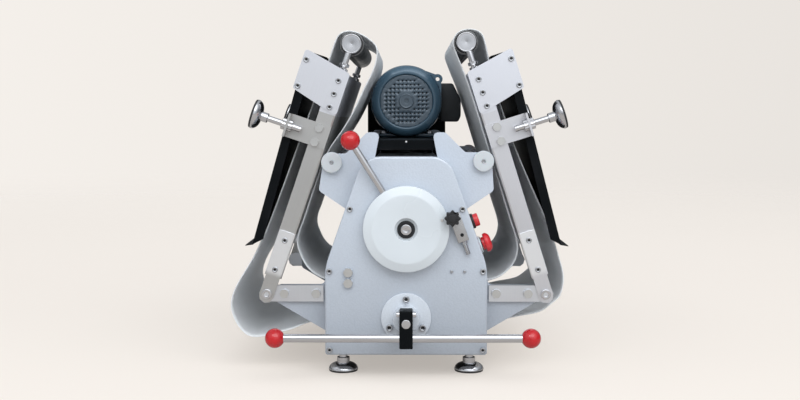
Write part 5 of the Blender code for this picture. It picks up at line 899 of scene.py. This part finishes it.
# Lug at the upper right, with its hole: an outline of two circles joined by their tangents
EAR_AT, EAR_RADIUS, EAR_BORE, SEAT_RADIUS = np.array([0.068, 0.048]), 0.011, 0.0045, 0.0762


def round_points(middle, radius, angle):
    """Points on a circle: middle + r (cos a, sin a)."""
    return middle + radius * np.stack([np.cos(angle), np.sin(angle)], -1)


ear_angle = math.atan2(EAR_AT[1], EAR_AT[0])
seat = round_points(0.0, SEAT_RADIUS, np.linspace(ear_angle - 0.62, ear_angle + 0.62, 7))
nose = round_points(EAR_AT, EAR_RADIUS, np.linspace(ear_angle + 1.35, ear_angle - 1.35, 17))
ear = np.concatenate([seat, nose])[::-1]
bore = round_points(EAR_AT, EAR_BORE, np.arctan2(ear[:, 1] - EAR_AT[1], ear[:, 0] - EAR_AT[0]))
ear_rows = np.stack([np.stack([line[:, 0], np.full(len(line), y), line[:, 1]], -1) for line,
    y in ((ear, 0.0), (ear, 0.014), (bore, 0.014), (bore, 0.0))])
finished("fan_hood_lug", skin(ear_rows + MOTOR + [0, 0.014, 0], looped=True), BLUE, "frame")

# Stator: fins as a wave of the radius round the body, closed by a shield at the back
STATOR_START, STATOR_LENGTH, FIN_COUNT, FIN_FOOT, FIN_TALL = 0.0823, 0.128, 24, 0.066, 0.008
phase = (np.arange(FIN_COUNT * 8) / 8.0) % 1.0
tall = np.clip((0.30 - np.abs(phase - 0.22)) / 0.06, 0, 1)
fin_angle = np.arange(FIN_COUNT * 8) * TAU / (FIN_COUNT * 8)
stator_at = here(0.0, STATOR_START, MOTOR_Z)
fin_rings = []
for y, grow in ((0.0, 0.0), (0.0, 1.0), (STATOR_LENGTH, 1.0), (STATOR_LENGTH, 0.0)):
    radius = FIN_FOOT + FIN_TALL * tall * grow
    fin_rings.append(np.stack([radius * np.cos(fin_angle), np.full_like(radius, y),
        radius * np.sin(fin_angle)], -1))
fins = skin(np.stack(fin_rings) + stator_at)
shield = eased([(0.0003, 0.112), (0.075, 0.112), (0.075, 0.129), (0.066, 0.136), (0.040, 0.154),
    (0.033, 0.162), (0.010, 0.162), (0.0003, 0.162)], [0, 0.001, 0.002, 0.004, 0.008, 0.002, 0.001, 0], 5,
    False)
front_ring = eased([(0.0003, -0.009), (0.0756, -0.009), (0.0756, 0.009), (0.0003, 0.009)], 0.0004, 3, False)
feet = block(here(-0.062, 0.0953, 0.4553), here(0.062, 0.1973, 0.4643), 0.0015)
pedestal = block(here(-0.036, 0.0963, 0.4600), here(0.036, 0.1963, 0.499), 0.003)
finished("stator_body", joined(fins, towards(spun(shield, 96), stator_at, (0, 1, 0)),
    towards(spun(front_ring, 96), stator_at, (0, 1, 0)), feet, pedestal), BLUE, "frame",
    ["motor_stator"])
foot_bolts = [here(side * 0.052, y, 0.4643) for side in (-1, 1) for y in (0.112, 0.181)]
finished("stator_bolts", spread(bolt_head(0.0075, 0.005), foot_bolts, UP), SCREW_STEEL, "frame")

box_outline = eased([(0.0745, 0.490), (0.116, 0.490), (0.122, 0.502), (0.122, 0.540), (0.104, 0.576),
    (0.0745, 0.576)], [0.003, 0.004, 0.005, 0.006, 0.005, 0.003], 5)
box_outline = box_outline + MIDDLE[[0, 2]]
box_shape = pressed(box_outline, 0.1833, 0.0913, 0.0022)
finished("terminal_case", box_shape, BOX_PLASTIC, "frame", ["motor_terminal_box"])
lid_outline = (box_outline - box_outline.mean(0)) * [0.90, 0.93] + box_outline.mean(0)
finished("terminal_lid", pressed(lid_outline, 0.0925, 0.0900, 0.0008), BOX_PLASTIC, "frame")

rotor_at = here(0.0, 0.0, MOTOR_Z)
pulley = eased([(0.0003, 0.3123), (0.0095, 0.3123), (0.0095, 0.3083), (0.036, 0.3083), (0.036, 0.3058),
    (0.029, 0.3008), (0.029, 0.2958), (0.036, 0.2908), (0.036, 0.2883), (0.0095, 0.2883), (0.0095, 0.0470),
    (0.062, 0.0470), (0.062, 0.0440), (0.016, 0.0440), (0.016, 0.0230), (0.0003, 0.0230)], [0, 0.001,
    0.0006, 0.0008, 0.0008, 0.001, 0.001, 0.0008, 0.0008, 0.0006, 0.001, 0.0008, 0.0008, 0.002, 0.002, 0],
    4, False)
blades = []
for k in range(8):
    blade, blade_faces = block((0.013, 0.0230, -0.0015), (0.059, 0.0455, 0.0015), 0.0006, 3)
    c, s = math.cos(TAU * k / 8), math.sin(TAU * k / 8)
    blades.append((blade @ np.array([[c, 0, s], [0, 1, 0], [-s, 0, c]]) + rotor_at, blade_faces))
finished("fan_and_pulley", joined(towards(spun(pulley, 72), rotor_at, (0, 1, 0)), *blades), MOULDED,
    "motor_rotor", ["motor_rotor"])
bridge_screw = turned([(0.0022, 0), (0.0022, 0.0014), (0.0003, 0.0020)], 0.0008, 5, 32)
finished("bridge_screw", towards(bridge_screw, here(0.0, -0.2617, 0.4515), FRONT), PALE_STEEL, "frame")

# Belts. The route is the solids' own: the slack and its loop, round the end roller, down the
# bed with its sag, through the throat and round the drive roller.
SLACK, SAG, TRAY_FOOT_OUT = 0.100, 0.036, 0.057
HANG = { -1: ((-0.35, -0.92), (-0.64, -0.56), (-0.97, 0.12), (-0.46, 0.64)), 1: ((-0.31, -0.70),
    (-0.36, -0.19), (-0.27, 0.10), (-0.16, 0.30), (0.16, 0.46)), }
RUN = { -1: ((0.124, 0.86), (0.268, 0.735), (0.735, 0.614), (0.910, 0.57)), 1: ((0.108, 0.86),
    (0.201, 0.852), (0.281, 0.807), (0.427, 0.654), (0.585, 0.529), (0.840, 0.50), (0.915, 0.575)), }
DIP = ((0.015, 0.62), (0.14, 0.945), (0.34, 1.0), (0.51, 0.86), (0.645, 0.64), (0.78, 0.53))
STAND = {-1: (1.30, 2.1), 1: (1.45, 1.0)}
WRAP = {-1: 1.0, 1: 0.5}
BED = { -1: ((0.947, 1.0), (0.885, 0.97), (0.82, 0.86), (0.766, 0.80), (0.67, 0.66), (0.582, 0.44),
    (0.50, 0.17), (0.425, 0.02), (0.30, 0), (0.099, 0), (0.0154, 0)), 1: ((0.794, 0), (0.42, 0), (0.099, 0),
    (0.0154, 0)), }
THROAT = { -1: ((0.856, -0.286), (0.583, -0.623), (0.516, -1.073)), 1: ((0.843, -0.23), (0.619, -0.401),
    (0.484, -0.71), (0.477, -0.986)), }


def route(side):
    """The belt's middle line through its knots, as machine (x, z)."""
    def run(shares, along_size, out_size, along_from=0.0, out_from=0.0):
        a, b = np.array(shares).T
        return np.stack(in_machine(side, along_from + along_size * a, out_from + out_size * b), -1)

    hang = run(HANG[side], SLACK, SLACK)
    start = side * (DRIVE[0] - BELT_WAY)
    depth = DRIVE[1] - 0.043 - 0.0027 - 0.009
    dip = np.array(DIP) if side == 1 else np.zeros((0, 2))
    dip = np.stack([start + (hang[0, 0] - start) * dip[:, 0], DRIVE[1] - depth * dip[:, 1]], -1)
    angle = np.linspace(0, math.pi, 7)
    stand = np.where(np.arange(7) < 3, STAND[side][0], STAND[side][1])
    over = np.stack(in_machine(side, REACH + BELT_WAY * np.sin(angle), BELT_WAY * np.cos(angle) * stand),
        -1)
    turn = math.pi / 2 - np.linspace(0, math.pi * WRAP[side], 7)
    drive = np.stack([side * (DRIVE[0] - BELT_WAY * np.cos(turn)), DRIVE[1] + BELT_WAY * np.sin(turn)], -1)
    return np.concatenate([dip, hang, run(RUN[side], REACH, TRAY_FOOT_OUT), over, run(BED[side],
        REACH - BED_START, -SAG, BED_START, -BED_WAY), run(THROAT[side], BED_START, SLACK), drive])


def smoothed(knots, spans):
    """A closed cubic through the knots: between two knots the point is
    (2t^3-3t^2+1) p + (t^3-2t^2+t) m + (3t^2-2t^3) q + (t^3-t^2) n, where the tangents m and n
    share the neighbours' chords by their lengths."""
    before, after, later = np.roll(knots, 1, 0), np.roll(knots, -1, 0), np.roll(knots, -2, 0)
    chord = np.linalg.norm(after - knots, axis=1)
    leave = (after - before) * (chord / (chord + np.linalg.norm(knots - before, axis=1)))[:, None]
    arrive = (later - knots) * (chord / (chord + np.linalg.norm(later - after, axis=1)))[:, None]
    t = np.arange(spans)[None, :, None] / spans
    curve = ((2 * t**3 - 3 * t**2 + 1) * knots[:, None] + (t**3 - 2 * t**2 + t) * leave[:, None]
             + (3 * t**2 - 2 * t**3) * after[:, None] + (t**3 - t**2) * arrive[:, None])
    return curve.reshape(-1, 2)


def belt(side, word):
    """The belt as rings across a closed line: offset by half the thickness along the line's
    normal, out to the two edges. Its flat place goes along for the weave."""
    line = smoothed(route(side), 8)
    step = np.linalg.norm(np.roll(line, -1, 0) - line, axis=1)
    length = float(step.sum())
    way = np.roll(line, -1, 0) - np.roll(line, 1, 0)
    way /= np.linalg.norm(way, axis=1, keepdims=True)
    normal = np.stack([way[:, 1], -way[:, 0]], -1)
    run = np.concatenate([[0.0], np.cumsum(step)[:-1]])
    half, thick = BELT_WIDTH / 2, BELT_THICK / 2
    across = np.concatenate([np.linspace(-half + 0.0006, half - 0.0006, 25), [half],
        np.linspace(half - 0.0006, -half + 0.0006, 25), [-half]])
    lift = np.concatenate([np.full(25, thick), [0.0], np.full(25, -thick), [0.0]])
    points = line[:, None] + normal[:, None] * lift[None, :, None]
    rings = np.stack([points[..., 0], np.broadcast_to(across, points.shape[:2]), points[..., 1]],
        -1) + MIDDLE
    piece = finished("belt_cloth_" + word, skin(rings, looped=True), CLOTH, None,
        ["belt_" + word], 60)
    layer = piece.data.uv_layers.new(name="belt")
    index = np.empty(len(piece.data.loops), dtype=np.int64)
    piece.data.loops.foreach_get("vertex_index", index)
    ring_of, spot_of = index // len(across), index % len(across)
    flat = np.stack([run[ring_of], across[spot_of]], -1)
    layer.data.foreach_set("uv", flat.astype(np.float32).ravel())
    return piece, length


for side, word in SIDES.items():
    cloth, length = belt(side, word)
    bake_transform(cloth)

# Floor, light and camera


def paper(name, colour, glowing):
    """The floor's finish: pale warm paper lit a little from beneath, so that it keeps only a
    light soft shadow. Far behind it clears, so that it meets the backdrop without a line."""
    f = Finish(name, colour, 0.9, Specular_IOR_Level=0.05, Emission_Strength=1.0)
    seen = f.node("LightPath", {}, (), "Is Camera Ray")
    away = f.node("VectorMath", {"operation": "LENGTH"}, (f.place,), "Value")
    dim = tuple(0.3 * part for part in glowing)
    return f.wired(Base_Color=f.shaded(f.noise(0.8, 2.0).between(0.3, 0.8), 0.985),
        Emission_Color=f.blend(seen, (*dim, 1.0), glowing), Alpha=1 - away.between(1.2, 9.0))


floor_mesh = bpy.data.meshes.new("floor")
floor_mesh.from_pydata([(-60, -20, 0), (60, -20, 0), (60, 90, 0), (-60, 90, 0)], [], [(0, 1, 2, 3)])
floor_mesh.materials.append(paper("pale floor", (0.50, 0.465, 0.43), (0.44, 0.41, 0.38)))
floor = bpy.data.objects.new("floor", floor_mesh)
bpy.context.scene.collection.objects.link(floor)
floor.location.z = -0.0005


def lamp(name, kind, at, aim, energy, colour, **more):
    """A lamp at one point, aimed at another: down its own -Z, with +Z kept upright."""
    data = bpy.data.lights.new(name, kind)
    data.energy = energy
    data.color = colour
    for key, value in more.items():
        setattr(data, key, value)
    made = bpy.data.objects.new(name, data)
    bpy.context.scene.collection.objects.link(made)
    way = np.asarray(at, float) - np.asarray(aim, float)
    made.location = at
    made.rotation_euler = (math.atan2(math.hypot(way[0], way[1]), way[2]), 0.0, math.atan2(way[0], -way[1]))


lamp("sun", "SUN", (1.0, -2.0, 2.6), (0, 0, 0.3), 0.38, (1.0, 1.0, 1.0), angle=math.radians(50))
lamp("front panel", "AREA", (0.4, -2.7, 2.3), (0, 0, 0.3), 26, (0.95, 0.975, 1.0), shape="RECTANGLE",
    size=3.2, size_y=1.8)
lamp("small box", "AREA", (-0.9, -1.9, 1.9), (0, 0, 0.35), 2.5, (1.0, 1.0, 1.0), shape="RECTANGLE",
    size=0.5, size_y=0.35)

world = bpy.data.worlds.new("studio")
bpy.context.scene.world = world
world.use_nodes = True
studio = Graph(world.node_tree)
heading = studio.node("TexCoord", {}, (), "Generated")


def glow(way, start, full):
    """How near a ray's heading comes to one way: the dot product, eased between two values."""
    way = np.asarray(way, float) / np.linalg.norm(way)
    dot = studio.node("VectorMath", {"operation": "DOT_PRODUCT"}, (heading, tuple(way)), "Value")
    return dot.between(start, full)


# Open studio: bright overhead and at the front, left and right, a little darker far behind
strength = (0.225 + glow((0, 0, 1), 0.0, 0.9) * 0.44 + glow((0.35, -0.75, 0.60), 0.55, 0.92) * 0.8
            + glow((-0.75, -0.5, 0.45), 0.75, 0.95) * 0.5 + glow((0, -1, 0), 0.3, 1.0) * 0.14
            - glow((0, 1, 0.12), 0.2, 0.9) * 0.08)
light = studio.node("Background", {}, {"Color": (0.92, 0.96, 1.0, 1.0), "Strength": strength})
across = studio.node("SeparateXYZ", {}, (heading,), "X")
seen = studio.node("Background", {}, {"Color": (0.870, 0.832, 0.790, 1.0), "Strength": 0.99 - across * 0.16})
camera_ray = studio.node("LightPath", {}, (), "Is Camera Ray")
chosen = studio.node("MixShader", {}, (camera_ray, light, seen))
world.node_tree.links.new(chosen.socket, world.node_tree.nodes["World Output"].inputs["Surface"])

camera_data = bpy.data.cameras.new("camera")
camera_data.sensor_width = 36.0
camera_data.lens = 52.18
camera = bpy.data.objects.new("camera", camera_data)
bpy.context.scene.collection.objects.link(camera)
camera.location = (0.0185, -2.520, 0.494)
camera.rotation_euler = (math.radians(90 - 3.95), 0.0, math.radians(0.395))
bpy.context.scene.camera = camera
bpy.context.scene.view_settings.view_transform = "Standard"
